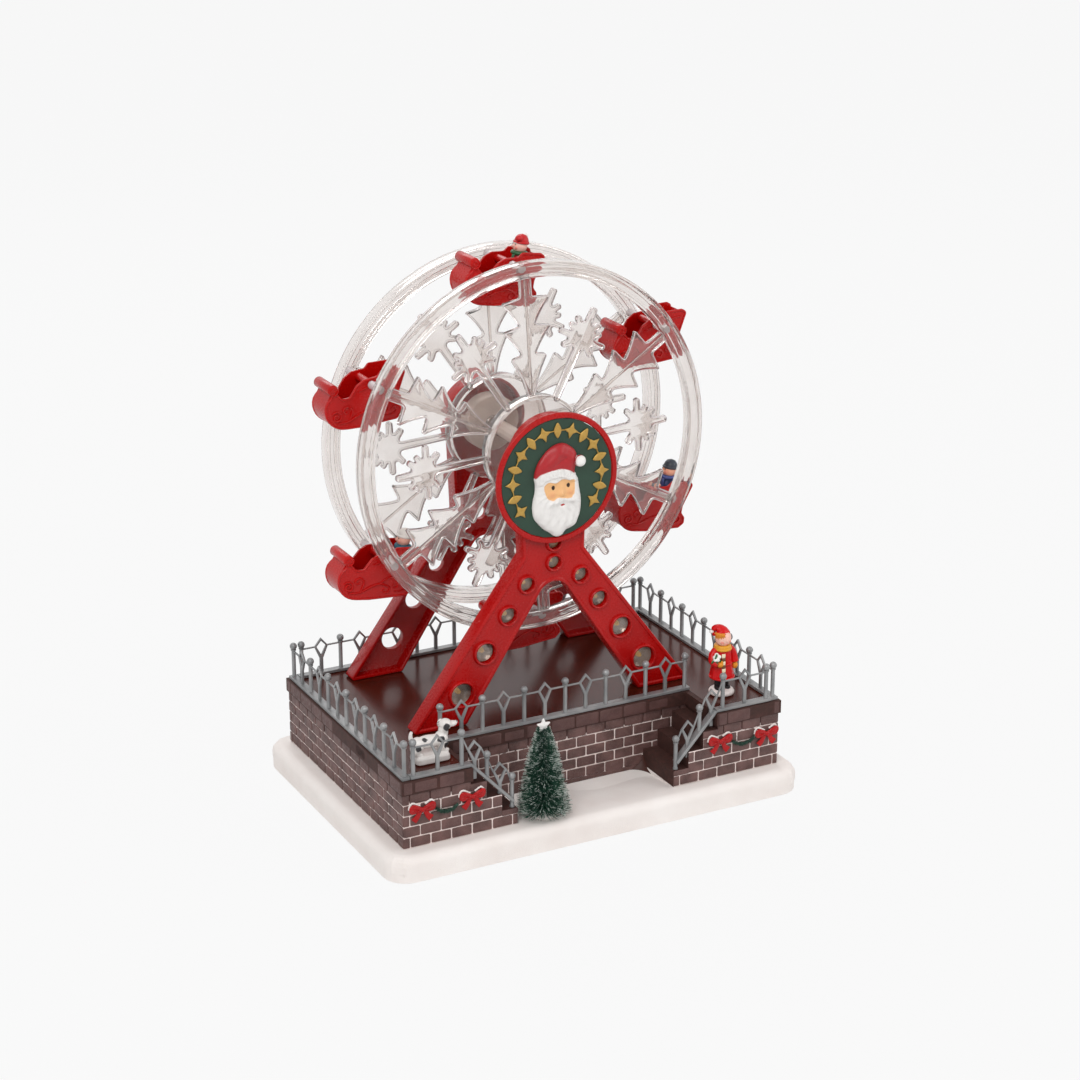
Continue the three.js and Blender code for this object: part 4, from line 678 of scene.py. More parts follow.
def filleted(corner, before, after, radius, steps):
    """An arc of the radius that touches both sides of a corner."""
    corner = np.asarray(corner, float)
    a, b = unit(before - corner), unit(after - corner)
    half = math.acos(np.clip(a @ b, -1, 1)) / 2
    middle = corner + unit(a + b) * radius / math.sin(half)
    start, end = (math.atan2(*(corner + way * radius / math.tan(half) - middle)[::-1]) for way in (a, b))
    turn = (end - start + math.pi) % (2 * math.pi) - math.pi
    angle = start + turn * np.linspace(0, 1, steps)
    return middle + radius * np.column_stack((np.cos(angle), np.sin(angle)))


def rounded(loop, radius, steps=4):
    """Every corner of a closed loop becomes an arc, smaller where its sides are short."""
    loop = np.asarray(loop, float)
    out = []
    for before, corner, after in zip(np.roll(loop, 1, 0), loop, np.roll(loop, -1, 0)):
        a, b = before - corner, after - corner
        half = math.acos(np.clip(unit(a) @ unit(b), -1, 1)) / 2
        fit = min(radius, min(np.linalg.norm(a), np.linalg.norm(b)) * 0.49 * math.tan(half))
        sharp = half > 1.54 or fit < 0.02
        out.append([corner] if sharp else filleted(corner, before, after, fit, steps))
    return np.vstack(out)


def frame_outline():
    """Two legs that meet under the round head, from the left foot anticlockwise."""
    outer, inner, apex, neck, shoulder, head, tall = 97.5, 60.6, 92.8, 21.0, 102.7, 27.3, 162.5
    start = 6 - math.degrees(math.acos(neck / head))
    path = [(-neck, shoulder + 20), (-neck, shoulder), (-outer, 0), (-inner, 0), (0, apex), (inner, 0),
            (outer, 0), (neck, shoulder), (neck, shoulder + 20)]
    fillets = ((3.0, 4), (1.5, 4), (1.5, 4), (11.0, 14), (1.5, 4), (1.5, 4), (3.0, 4))
    bends = [filleted(path[at], path[at - 1], path[at + 1], radius, steps)
             for at, (radius, steps) in enumerate(fillets, 1)]
    return np.vstack((*bends[1:], arc(0, tall, head, start, 180 - start, 64), bends[0]))


def on_frame(side):
    """Carries points drawn with the face towards -Y about the wheel's plane to one of the frames."""
    return carried((0, WHEEL_Y, DECK_Z + 0.3), scale=(1, side, 1))


def pin(shell, x, z, radius, y0, y1, soft=0.3, steps=24):
    plate(shell, circle(x, z, radius, steps), [], rounded_rows(y0, y1, soft))


def frame_shell(side):
    """The channel, the axle's bearing and, on the back frame, three bosses of the gear housing."""
    face, bead, wall = -FRAME_FACE, 0.75, FRAME_WALL
    edge, floor = face + FRAME_DEPTH, face + wall + 0.8
    rows = [(2.9, face + bead), (2.6, face + bead - 0.1), (2.2, face + 0.15), (1.8, face), (0.9, face),
            (0.3, face + 0.25), (0, face + 0.9), (0, edge - 0.4), (0.4, edge), (wall - 0.4, edge),
            (wall, edge - 0.4), (wall, floor)]
    collar = [(1.9, face + bead), (1.6, face - 0.2), (1.3, face - 0.9), (1.0, face - 1.2), (0.5, face - 1.2),
              (0.1, face - 0.9), (0, face - 0.3), (0, floor)]
    shell = Shell(on_frame(side))
    plate(shell, frame_outline(), [circle(*hole) for hole in LAMP_HOLES], rows, collar)
    tall = WHEEL_Z - DECK_Z
    pin(shell, 0, tall, 3.6, floor, edge)
    for x, z in arc(0, tall, 15.0, 90, 330, 3) if side < 0 else ():
        pin(shell, x, z, 2.2, floor, edge)
    return shell


def red_plastic(name, low, high, roughness=0.24):
    finish = Finish(name, Specular_IOR_Level=0.28)
    cloud = finish.noise(22.0, 3.0)
    fine = finish.noise(700.0, 3.0, 0.6)
    finish.colour(finish.spread(cloud, 0.3, 0.7), low, high)
    finish.set("Roughness", finish.spread(fine + cloud, 0.7, 1.3, roughness - 0.05, roughness + 0.1))
    finish.bump(cloud + fine * 0.15, 0.0005, 0.1)
    return finish


red = red_plastic("red_frame", "9e0404", "b20806")
for side, name in ((1, "front"), (-1, "back")):
    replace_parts(frame_shell(side).object(name + "_frame_shell", red, "red", smooth=32), name + "_frame")

# Lamp covers: a clear panel behind the holes of each frame, screwed to the channel's floor. The
# front one has a dome over every hole with a reflector cup and a small warm lamp behind it.
clear = Finish("clear", Roughness=0.04, Transmission_Weight=1.0, IOR=1.46)
flow = clear.noise(60.0, 2.0)
clear.colour(clear.spread(flow, 0.3, 0.7), "e6e2df", "f4f2f0")
clear.bump(flow, 0.0004, 0.25)
pane = Finish("clear_pane", Roughness=0.06, Specular_IOR_Level=0.1, Alpha=0.03)
pane.colour(pane.noise(120.0, 2.0), "d8d0cc", "e8e2de")
cup = Finish("lamp_cup", Metallic=0.7, Roughness=0.3)
cup.colour(cup.noise(500.0, 3.0), "a8978d", "cfc4bd")
bulb = Finish("bulb", Roughness=0.2, Emission_Strength=0.25)
warm = bulb.noise(900.0, 2.0)
bulb.colour(warm, "ffd27a", "ffe6a8")
bulb.set("Emission Color", bulb.mixed(warm, "ffb648", "ffd890"))

PANEL_TOP, DOME = 125, 1.9
front = -FRAME_FACE + FRAME_WALL + 1.1
outline = frame_outline()
panels = [Shell(on_frame(side)) for side in (1, -1)]
for panel in panels:
    plate(panel, outline[outline[:, 1] <= PANEL_TOP], [],
          [(FRAME_WALL + 0.4, front), (FRAME_WALL + 0.4, front + 1.0)])
cups, lamps = Shell(on_frame(1)), Shell(on_frame(1))
for x, z, radius in LAMP_HOLES:
    dome, place = radius - 0.35, (x, 0, z)
    profile = [(dome * math.cos(t), front - 0.35 - DOME * math.sin(t))
               for t in np.linspace(0, np.pi / 2 - 0.05, 9)[::-1]]
    turned(panels[0], profile + [(dome, front - 0.05), (0.3, front - 0.05)], 28, place, True)
    cone = ((0.2, 5.5), (radius * 0.4, 5.3), (radius + 0.6, 1.3), (radius + 1.2, 1.3),
            (radius * 0.55, 6.2), (0.2, 6.4))
    turned(cups, [(wide, front + y) for wide, y in cone], 28, place, True)
    lamp = ((0.1, 1.6), (0.9, 1.9), (1.4, 2.8), (1.4, 5.2), (0.1, 5.2))
    turned(lamps, [(wide, front + y) for wide, y in lamp], 16, place, True)
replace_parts(panels[0].object("front_lamp_covers", clear, "clear"), "front_lamp_panel")
cups.object("lamp_cups", cup, "steel")
lamps.object("lamp_bulbs", bulb, "clear")
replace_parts(panels[1].object("back_lamp_covers", pane, "clear"), "back_lamp_panel")

# Wheel: two clear moulded discs, each a channel-shaped rim with six fir spokes and six snowflake
# spokes between them, edged with a bead. They are joined by the axle, a spacer and the sleigh pins.
RIM_OUT, RIM_WIDE, RIM_DEEP = 117.5, 9.6, 7.4
RIM_IN = RIM_OUT - RIM_WIDE
DISC_Y, HUB_R, SPOKE = 26.1, 34.0, 3.0
PIVOT_R, PIVOT_TURN = 112.6, 33.5
SLEIGH_HALF = 10.4


def fir_spoke():
    """Tiers whose lower edges are hollowed: between corners the side bends inwards by 0.05 of its run."""
    tiers = [(0.5, 12.5), (0.513, 4.7), (0.65, 16.4), (0.666, 5.2), (0.803, 16.6), (0.816, 3.9)]
    corners = np.array([(HUB_R - 1.0, 2.3), *((share * RIM_OUT, half) for share, half in tiers),
                        (RIM_IN + 0.3, 3.9)])
    side = [corners[0]]
    for first, last in zip(corners[:-1], corners[1:]):
        if last[1] - first[1] > 5:
            share = np.linspace(0, 1, 7)[1:-1, None]
            bend = 0.05 * np.linalg.norm(last - first) * np.sin(np.pi * share)
            side += list(first * (1 - share) + last * share - bend * (0, 1))
        side.append(last)
    side = np.array(side)
    return rounded(np.vstack((side * (1, -1), side[::-1])), 1.9, 5)


def flake_spoke():
    """Four pairs of arms of unlike lengths with valleys between them, and a stub at each end."""
    arms = [(20, 7.8, 37, 13.5), (50, 8.3, 62, 12.2), (77, 7.3, 92, 16.4), (110, 7.3, 128, 13.3)]
    stub, half, tip, middle = 20.0, 2.1, 1.9, RIM_OUT * 0.624
    upper = [(stub, half)]
    for valley, depth, angle, length in arms:
        way = arc(0, 0, 1.0, angle, angle, 1)[0]
        aside = np.array((-way[1], way[0])) * tip
        end = way * (length + 1)
        upper += [arc(0, 0, depth, valley, valley, 1)[0], end - aside, end + aside]
    upper = np.array([*upper, arc(0, 0, 5.7, 150, 150, 1)[0], (HUB_R - 2.2 - middle, half)])
    return rounded(np.vstack((upper, upper[::-1] * (1, -1))), 1.7) + (middle, 0)


def wire(shell, path, radii, sides=8, flat=(0.31, 0.87, 0.38)):
    """A round or flattened strand along a 3-D path: each ring stands across the path, its first
    axis kept near the direction flat; the radii may run along the path."""
    path = np.asarray(path, float)
    radii = np.broadcast_to(radii, (len(path), 2))
    along = unit(np.gradient(path, axis=0))
    guide = np.array(flat, float)
    side = unit(guide - along * (along @ guide)[:, None])
    turn = np.arange(sides)[None, :, None] * 2 * np.pi / sides
    shell.tube(path[:, None] + np.cos(turn) * side[:, None] * radii[:, :1, None]
               + np.sin(turn) * np.cross(along, side)[:, None] * radii[:, 1:, None])


def spun(shell, profile, sides, z=0.0):
    """A closed profile of (radius, y) turned about the Y direction."""
    turn = (np.arange(sides) * 2 * np.pi / sides)[:, None]
    rings = (profile[:, 0] * np.cos(turn), np.repeat(profile[None, :, 1], sides, 0),
             z + profile[:, 0] * np.sin(turn))
    shell.tube(np.stack(rings, -1), closed=True)


def disc_shell(side):
    """One disc in the X-Z plane about the axis, drawn with its outer face towards -Y."""
    half, web, wall = RIM_DEEP / 2, 2.0, 1.6
    floor, middle = half - web, RIM_OUT - RIM_WIDE / 2
    stand = carried((0, WHEEL_Y - DISC_Y * side, WHEEL_Z), scale=(1, side, 1))
    shell, pins = Shell(stand), Shell(stand)
    spun(shell, rounded([
        (RIM_IN, -half), (RIM_IN + wall, -half), (RIM_IN + wall + 0.3, floor), (middle - 1.3, floor),
        (middle - 1.1, floor - 1.0), (middle + 1.1, floor - 1.0), (middle + 1.3, floor),
        (RIM_OUT - wall - 0.3, floor), (RIM_OUT - wall, -half), (RIM_OUT, -half), (RIM_OUT, half),
        (RIM_IN, half)], 0.4, 3), 192)
    spun(shell, rounded([(2.3, -half), (6, -half), (6, floor), (HUB_R - 2.5, floor), (HUB_R - 2.5, -half),
                         (HUB_R, -half), (HUB_R, half), (2.3, half)], 0.4, 3), 96)
    y0, y1 = -SPOKE / 2, SPOKE / 2
    rows = [(1.75, y0 + 0.8), (1.5, y0 + 0.7), (1.25, y0 + 0.1), (0.95, y0), (0.5, y0), (0.15, y0 + 0.2),
            (0, y0 + 0.6), (0, y1 - 0.4), (0.4, y1)]
    rib = np.column_stack((np.linspace(HUB_R + 1, RIM_IN - 0.5, 12), np.zeros(12)))
    reach = DISC_Y - SLEIGH_HALF - 0.3
    stud = [(0.1, half - 0.9), (2.5, half - 0.9), (2.5, reach - 0.3), (2.2, reach), (1.5, reach),
            (1.5, reach + 5.7), (1.1, reach + 6), (0.1, reach + 6)]
    for number in range(6):
        for outline, angle in ((fir_spoke(), PIVOT_TURN), (flake_spoke(), PIVOT_TURN + 30)):
            shell.carry = pins.carry = carried(turn=math.radians(angle + 60 * number), after=stand)
            plate(shell, outline, [], rows)
            brim = offset(outline, 0.3)
            wire(pins, laid(np.vstack((brim, brim[:1])), y0 + 0.25), 0.3, 5, (0, 1, 0))
            if angle == PIVOT_TURN:
                wire(shell, laid(rib, y0 + 0.75), (0.5, 1.0), 10, (0, 1, 0))
        shell.carry = pins.carry = stand
        turn = math.radians(PIVOT_TURN + 60 * number)
        turned(pins, stud, 28, (PIVOT_R * math.cos(turn), 0, PIVOT_R * math.sin(turn)), True)
    return shell, pins


glass = Finish("clear_wheel", Roughness=0.04, Transmission_Weight=0.92, IOR=1.42)
swirl = glass.noise(45.0, 3.0)
glass.colour(glass.spread(swirl, 0.35, 0.65), "e9e2de", "f3eeeb")
glass.bump(swirl, 0.0005, 0.3)
frosted = Finish("clear_pin", Roughness=0.25, Transmission_Weight=0.3)
frosted.colour(frosted.noise(300.0, 2.0), "ddd2d4", "eee6e6")
for side, name in ((1, "wheel_disc_front"), (-1, "wheel_disc_back")):
    disc, pins = disc_shell(side)
    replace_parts(disc.object(name + "_moulding", glass, "clear", "wheel", 35), name)
    pins.object(name + "_pins", frosted, "clear", "wheel")

# Axle, screws and housing: a bright steel axle, four cross-head screws from below into the deck's
# bosses, and the beige cover that closes the gear housing on the back frame.
steel = Finish("steel", Metallic=0.9, Roughness=0.28)
rub = steel.noise(800.0, 3.0, 0.6)
steel.colour(rub, "9a9a9c", "c4c4c6")
steel.set("Roughness", steel.spread(rub, 0.3, 0.7, 0.2, 0.36))
dress(steel, "axle", "drive_motor")
CROSS = np.array([(-0.35, -1.6), (0.35, -1.6), (0.35, -0.35), (1.6, -0.35), (1.6, 0.35), (0.35, 0.35)])
for number, (x, y) in enumerate(((-112, -70), (112, -70), (-112, 70), (112, 70)), 1):
    screw = Shell(carried((x, y, 1.9), math.pi / 2, (1, 2)))
    plate(screw, circle(0, 0, 2.6, 32), [np.vstack((CROSS, -CROSS))],
          [(0.7, -0.6), (0.25, -0.45), (0, 0), (0, 0.7)], [(0, -0.7), (0, 0.5)])
    screw.object(f"base_screw_{number}", steel, "steel")
cream = Finish("cream", Roughness=0.35)
haze = cream.noise(200.0, 3.0)
cream.colour(haze, "e6d9cf", "f2e8e0")
cream.bump(haze, 0.0003, 0.2)
dress(cream, "hub_spacer", "wheel_gear", "motor_pinion")
housing = Shell()
turned(housing, [(0.1, 52.7), (16.6, 52.7), (17.5, 53.1), (18.0, 54.0), (18.0, 63.1), (16.3, 63.1),
                 (16.3, 54.4), (0.1, 54.4)], 72, (0, 0, WHEEL_Z), True)
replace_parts(housing.object("gear_cover", cream, "cream"), "gear_housing")

# Sleighs: red moulded shells of two scrolled sides and a bent floor between them, hung on the pins
# by a cross tube. A raised scroll and an edge bead decorate each side.
SLEIGH_LEAN = math.radians(9.0)
RIDDEN = (2, 4, 6)
SLEIGH_SIDE = ((-26, -5.2), (-29.3, -9), (-30, -15), (-27, -21.4), (-20.3, -25.5), (-8.1, -26),
               (16.4, -23.8), (20.2, -20.6), (20, -16.6), (17.2, -13.6), (17.4, -9), (22.9, 5.7),
               (19.5, 7.8), (6.5, 7.5), (3.9, 4.4), (-4.7, 3.4), (-9.4, 0.3), (-14, -6.5),
               (-18.5, -6.5), (-24.7, -0.5))
SLEIGH_FLOOR = ((-24.7, -2.6), (-26.6, -6.4), (-28.8, -10.4), (-28.8, -15.6), (-25.8, -21.2),
                (-19.7, -24.3), (-8, -24.8), (15.4, -22.8), (18.8, -20), (18.6, -16.8),
                (16.4, -13.4), (16.4, -9), (21.2, 5.2))
# The scrolls of a side: points, count and radius of each line in X and Z
SCROLLS = (
    (((-22, -21.6), (-15, -21.0), (-8, -17.5), (-1, -15.5), (5, -18), (4, -21.2), (0.8, -20.4),
      (1.6, -18.4)), 44, 0.5),
    (((-14.5, -20.8), (-12.5, -14.5), (-15.5, -11.8), (-18.4, -13.6), (-16.8, -15.8),
      (-15.2, -14.6)), 30, 0.45),
    (((-3, -16.0), (4.5, -11.5), (10.5, -13.6), (10.3, -17.8), (7.2, -17.6), (8.0, -15.4)), 34, 0.45),
    (((8.5, -20.5), (13, -20.3), (16.2, -18), (14.5, -15.4), (12.6, -17.0)), 22, 0.4),
    (((-8, -3.5), (-2, -1.5), (6, -0.5), (12, 2.5), (18.5, 3.2)), 30, 0.4))


def curved(points, count, closed=False):
    """A Catmull-Rom curve through the points, at equal steps of its length."""
    points = np.asarray(points, float)
    first = points[-1:] if closed else 2 * points[:1] - points[1:2]
    last = points[:2] if closed else 2 * points[-1:] - points[-2:-1]
    line = np.vstack((first, points, last))
    share = np.linspace(0, 1, 9)[:-1, None]
    path = [0.5 * (2 * b + (c - a) * share + (2 * a - 5 * b + 4 * c - d) * share**2
                   + (3 * b - a - 3 * c + d) * share**3)
            for a, b, c, d in zip(line[:-3], line[1:-2], line[2:-1], line[3:])]
    path = np.vstack((*path, points[:1] if closed else points[-1:]))
    length = np.concatenate(([0], np.cumsum(np.linalg.norm(np.diff(path, axis=0), axis=1))))
    step = np.linspace(0, length[-1], count, endpoint=not closed)
    return np.stack([np.interp(step, length, path[:, axis]) for axis in range(path.shape[1])], 1)


def strand(shell, points, count, radii, sides=8):
    """A wire along the curve through the points, whose radius goes evenly from the first to the last."""
    wire(shell, curved(points, count), np.linspace(radii[0], radii[-1], count)[:, None], sides)


def spiral(x, z, start, end, first, count):
    """An Archimedean spiral: the radius goes evenly from the first to 0.5 mm over the turn."""
    angle, radius = np.radians(np.linspace(start, end, count)), np.linspace(first, 0.5, count)
    return np.column_stack((x + radius * np.cos(angle), z + radius * np.sin(angle)))


def sleigh(place, lean):
    shell = Shell(carried(place, -lean))
    outline = rounded(np.vstack((curved(SLEIGH_SIDE[:6], 15), SLEIGH_SIDE[6:])), 2.2, 4)
    bore = circle(0, 0, 1.85, 24)
    wall, half = 1.6, SLEIGH_HALF
    lines = [(spiral(-22.5, -17.5, 150, -420, 3.6, 40), 0.5)]
    lines += [(curved(points, count), radius) for points, count, radius in SCROLLS]
    for sign in (-1, 1):
        rows = [(inset, sign * (half - depth)) for inset, depth in (
            (1.5, 0.5), (1.3, 0.1), (1.0, 0), (0.5, 0), (0.1, 0.4), (0, 0.8), (0, wall - 0.3), (0.3, wall))]
        plate(shell, outline, [bore], rows, [(0, y) for _, y in rows])
        for line, radius in lines:
            taper = 1.3 * radius * (0.55 + 0.6 * np.sin(np.pi * np.linspace(0.12, 0.9, len(line))))
            wire(shell, laid(line, sign * (half - 0.25)), taper[:, None], 8, (0, 1, 0))
    bottom = curved(SLEIGH_FLOOR, 70)
    along = unit(np.gradient(bottom, axis=0))
    normal = np.column_stack((-along[:, 1], along[:, 0]))
    low, high = bottom - normal * 0.7, bottom + normal * 0.9
    shell.tube(np.stack([laid(line, y) for line, y in (
        (low, 1.4 - half), (low, half - 1.4), (high, half - 1.4), (high, 1.4 - half))], 1))
    pin(shell, -24.9, -0.3, 3.3, -10.9, 10.9, 0.5, 28)
    plate(shell, circle(0, 0, 2.6, 28), [bore], [(0, 1.2 - half), (0, half - 1.2)])
    for sign in (-1, 1):
        wire(shell, laid(spiral(-24.7, -0.9, 30, -510, 3.3, 44), sign * 10.8), 0.45, 8, (0, 1, 0))
    seat = [(3.4, -13.3), (16.6, -13.3), (16.8, -12.0), (16.4, -11.5), (3.9, -11.5), (3.4, -12)]
    plate(shell, seat, [], [(0, -9.4), (0, 9.4)])
    return shell


crimson = red_plastic("red_sleigh", "a80604", "be0e0a")
pivots = {}
for number in range(1, 7):
    turn = math.radians(PIVOT_TURN + 60 * (number - 1))
    pivots[number] = (PIVOT_R * math.cos(turn), WHEEL_Y, WHEEL_Z + PIVOT_R * math.sin(turn))
    piece = sleigh(pivots[number], SLEIGH_LEAN if number in RIDDEN else 0.0).object(
        f"sleigh_shell_{number}", crimson, "red", f"carriage_{number}", 38)
    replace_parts(piece, f"sleigh_{number}")

# Medallion: a red moulded rim, a dark green printed disc with gold stars and leaves in an arc, and
# a painted relief of a bearded head in a stocking cap, pressed into the disc from the front.
MEDAL_Z, MEDAL_R, MEDAL_IN, MEDAL_Y = 212.9, 41.3, 37.9, -35.5
RELIEF = (-0.5, -35.1, 205.6)
STARS, FIRST, LAST, ORNAMENT_R = 15, -35.0, 215.0, 30.4
POMPOM = (14.0, 17.6)
EYES, MOUTH = ((-4.0, 2.9), (6.3, 3.2)), (2.2, -8.7)

rim = Shell()
spun(rim, rounded([(MEDAL_IN - 0.3, -33.0), (MEDAL_IN - 0.3, -34.5), (MEDAL_IN, -34.7), (MEDAL_IN, MEDAL_Y),
                   (MEDAL_R, MEDAL_Y), (MEDAL_R, -33.0)], 0.9, 5), 160, MEDAL_Z)
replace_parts(rim.object("medallion_ring", red, "red"), "medallion_rim")

green = Finish("green", Roughness=0.55)
print_grain = green.noise(1600.0, 3.0, 0.7)
green.colour(green.spread(green.noise(35.0, 2.0) + print_grain * 0.4, 0.5, 0.9), "172f22", "213f2f")
green.bump(print_grain, 0.0001, 0.25)
dress(green, "medallion_disc")


def starred(first, second, points, start=0.0):
    """Corners at the two radii in turn, anticlockwise from the start angle."""
    turn = start + np.arange(2 * points) * np.pi / points
    return np.tile((first, second), points)[:, None] * np.column_stack((np.cos(turn), np.sin(turn)))


gold = Finish("gold", Metallic=0.45, Roughness=0.42)
leaf_grain = gold.noise(600.0, 3.0)
gold.colour(leaf_grain, "a47d33", "c6a155")
gold.bump(leaf_grain, 0.0001, 0.3)
leaf = curved([(0, -4.9), (1.9, -2.2), (2.5, 0), (1.9, 2.2), (0, 4.9), (-1.9, 2.2), (-2.5, 0),
               (-1.9, -2.2)], 40, True)
ornament = Shell()
for number in range(STARS):
    angle = math.radians(FIRST + (LAST - FIRST) * number / (STARS - 1))
    place = (ORNAMENT_R * math.cos(angle), 0, MEDAL_Z + ORNAMENT_R * math.sin(angle))
    ornament.carry = carried(place, angle - math.pi / 2)
    plate(ornament, leaf if number % 2 else starred(5.1, 2.3, 4), [],
          [(0.9, -35.95), (0.5, -35.9), (0.15, -35.7), (0, -35.4), (0, -35.1)])
ornament.carry = None
wire(ornament, laid(arc(0, MEDAL_Z, ORNAMENT_R, FIRST, LAST, 160), -35.25), (0.45, 0.35), 8, (0, 1, 0))
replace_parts(ornament.object("medallion_ornaments", gold, "gold", smooth=50), "medallion_ornament")


def edge_distance(x, z, loop):
    """Signed distance to a closed outline, positive inside, by the nearest point of each side and
    the even-odd rule."""
    p = np.stack((x, z), -1)[..., None, :]
    a, b = loop, np.roll(loop, -1, 0)
    side = b - a
    share = np.clip(((p - a) * side).sum(-1) / (side**2).sum(-1), 0, 1)
    near = np.sqrt(((p - a - share[..., None] * side) ** 2).sum(-1)).min(-1)
    crosses = (a[:, 1] > p[..., 1]) != (b[:, 1] > p[..., 1])
    rise = np.where(a[:, 1] == b[:, 1], 1e-9, side[:, 1])
    left = p[..., 0] < side[:, 0] * (p[..., 1] - a[:, 1]) / rise + a[:, 0]
    return np.where((crosses & left).sum(-1) % 2 == 1, near, -near)


def hill(x, z, x0, z0, across, up, lean=0.0):
    """exp(-(u / across)^2 - (v / up)^2) about (x0, z0), its axes turned by lean degrees."""
    c, s = math.cos(math.radians(lean)), math.sin(math.radians(lean))
    u = (x - x0) * c + (z - z0) * s
    v = (z - z0) * c - (x - x0) * s
    return np.exp(-((u / across) ** 2) - (v / up) ** 2)


def soft(value, low, high):
    share = np.clip((value - low) / (high - low), 0, 1)
    return share * share * (3 - 2 * share)


HEAD_LINE = curved([
    (-15.6, 10.5), (-15.0, 5.5), (-15.2, 0.5), (-16.4, -4.5), (-16.9, -9.7), (-15.9, -15.5),
    (-13.2, -19.5), (-9.4, -23.6), (-5.4, -26.4), (-2.4, -29.0), (0.4, -29.9), (3.4, -28.9),
    (5.6, -26.3), (8.8, -25.4), (12.6, -23.4), (14.0, -20.4), (15.6, -16.4), (16.3, -10), (15.8, -4.1),
    (14.9, 0.5), (14.2, 5), (11.9, 10.4), (13.6, 16.8), (12.4, 23.3), (7.5, 27.8), (2.8, 29.5),
    (-3.3, 28.2), (-8.8, 24), (-13.5, 17.8)], 360, True)
CAP_LINE = curved([(-15.8, 10.0), (-12.6, 12.2), (-6.7, 13.9), (0.8, 14.4), (6.2, 12.9), (11.9, 10.2),
                   (16, 17), (14, 26), (5, 32), (-8, 30), (-18, 20)], 120, True)
FACE_LINE = curved([(-10.3, 4.4), (-9.6, 0), (-8.0, -3.4), (-4.7, -4.9), (-1.4, -3.6), (1.4, -3.9),
                    (4.2, -4.4), (7.6, -4.6), (10.2, -2.2), (10.7, 2.2), (10.2, 6.2), (6.3, 6.6),
                    (2, 7.6), (-2.4, 5.8), (-7.4, 6.8)], 120, True)


def relief_depth(x, z):
    """A pillow with a rim, waved strands over the hair and beard, the cap's brim and folds, and the
    face sunk by 0.75 mm with hills for cheeks, nose, brows and moustache."""
    edge = np.minimum(edge_distance(x, z, HEAD_LINE[::4]), 9)
    cap_in = edge_distance(x, z, CAP_LINE)
    in_cap, in_face = soft(cap_in, -0.25, 0.5), soft(edge_distance(x, z, FACE_LINE), -0.5, 0.9)
    swing, reach = np.arctan2(x - 1.0, 6.0 - z), np.hypot(x - 1.0, z - 6.0)
    strands = 0.6 * np.sin(swing * 26 + 0.9 * np.sin(reach * 0.5) + 1.4 * np.sin(reach * 0.21 + swing * 3))
    strands += 0.4 * np.sin(swing * 11 + 1.2 * np.sin(reach * 0.33))
    hair = (1 - in_cap) * (1 - in_face) * (0.35 + 0.65 * soft(-z, -1.0, 5.0)) * soft(edge, 0.2, 2.0)
    brim = soft(cap_in, -6.0, -4.6) * soft(-cap_in, -0.3, 0.6) * soft(z, 2.0, 7.0)
    depth = 3.9 * np.sqrt(np.clip(1 - (1 - np.clip(edge / 7.5, 0, 1)) ** 2, 0, 1)) + 0.42 * strands * hair
    depth += brim * (0.9 + 0.16 * np.sin(x * 1.3) + 0.1 * np.sin(x * 2.9 + 1))
    folds = 0.35 * np.sin((x - z * 0.4) * 0.55 + 1.0)
    for share, height, *place in (
            (in_cap, 0.55, -5, 20, 9, 1.6, 38), (in_cap, -0.5, 1, 18.5, 9, 1.1, 28),
            (in_cap, 0.45, 4.5, 22.5, 6.5, 1.5, -32), (in_face, 1.0, -5.2, -1.4, 3.0, 2.4),
            (in_face, 1.0, 7.4, -1.2, 2.8, 2.4), (in_face, 0.5, -4.3, 5.2, 3.0, 0.8, 8),
            (in_face, 0.5, 6.6, 5.4, 2.8, 0.8, -8), (1, 2.3, 1.6, -1.6, 2.0, 1.9),
            (1, 0.9, 1.5, 1.5, 1.1, 3.0), (1, -0.35, -4.0, 2.9, 2.2, 1.6), (1, -0.35, 6.3, 3.2, 2.2, 1.6),
            (1, 1.5, -3.6, -6.3, 5.2, 1.9, 14), (1, 1.5, 7.2, -6.0, 5.0, 1.9, -14),
            (1, -0.9, 2.2, -9.0, 1.6, 0.9)):
        depth += share * height * hill(x, z, *place)
    return np.maximum(depth + in_cap * folds - in_face * 0.75, 0.0) + 0.12


relief = Shell(carried(RELIEF))
centre = np.array((0.0, 0.5))
share = (np.linspace(0.004, 1, 110) ** 0.8)[:, None, None]
x, z = np.moveaxis(centre + (HEAD_LINE - centre) * share, -1, 0)
depth = relief_depth(x, z)
surface = np.stack((x, -depth, z), -1)
relief.tube(np.concatenate((surface, surface[-1:] * (1, 0, 1))))
turn = np.linspace(-np.pi / 2 + 0.02, np.pi / 2 - 0.02, 24)[:, None]
around = np.arange(36)
fluff = 3.5 + 0.12 * np.sin(around * 2.1)
relief.tube(np.stack((POMPOM[0] + np.cos(turn) * fluff * np.cos(around * np.pi / 18),
                      -3.6 + np.cos(turn) * fluff * np.sin(around * np.pi / 18),
                      POMPOM[1] + 3.6 * np.sin(turn) * np.ones(36)), -1))
rows, ring = np.linspace(-1.5, 1.5, 9)[:, None], np.arange(16) * np.pi / 8
for (at_x, at_z), wide, high in ((EYES[0], 0.9025, 1.0925), (EYES[1], 0.9025, 1.0925), (MOUTH, 1.35, 0.7)):
    base = depth.ravel()[np.argmin((x - at_x).ravel() ** 2 + (z - at_z).ravel() ** 2)]
    relief.tube(np.stack((at_x + wide * np.cos(rows) * np.cos(ring),
                          0.05 - base - 0.25 * np.sin(rows) * np.ones(16),
                          at_z + high * np.cos(rows) * np.sin(ring)), -1))


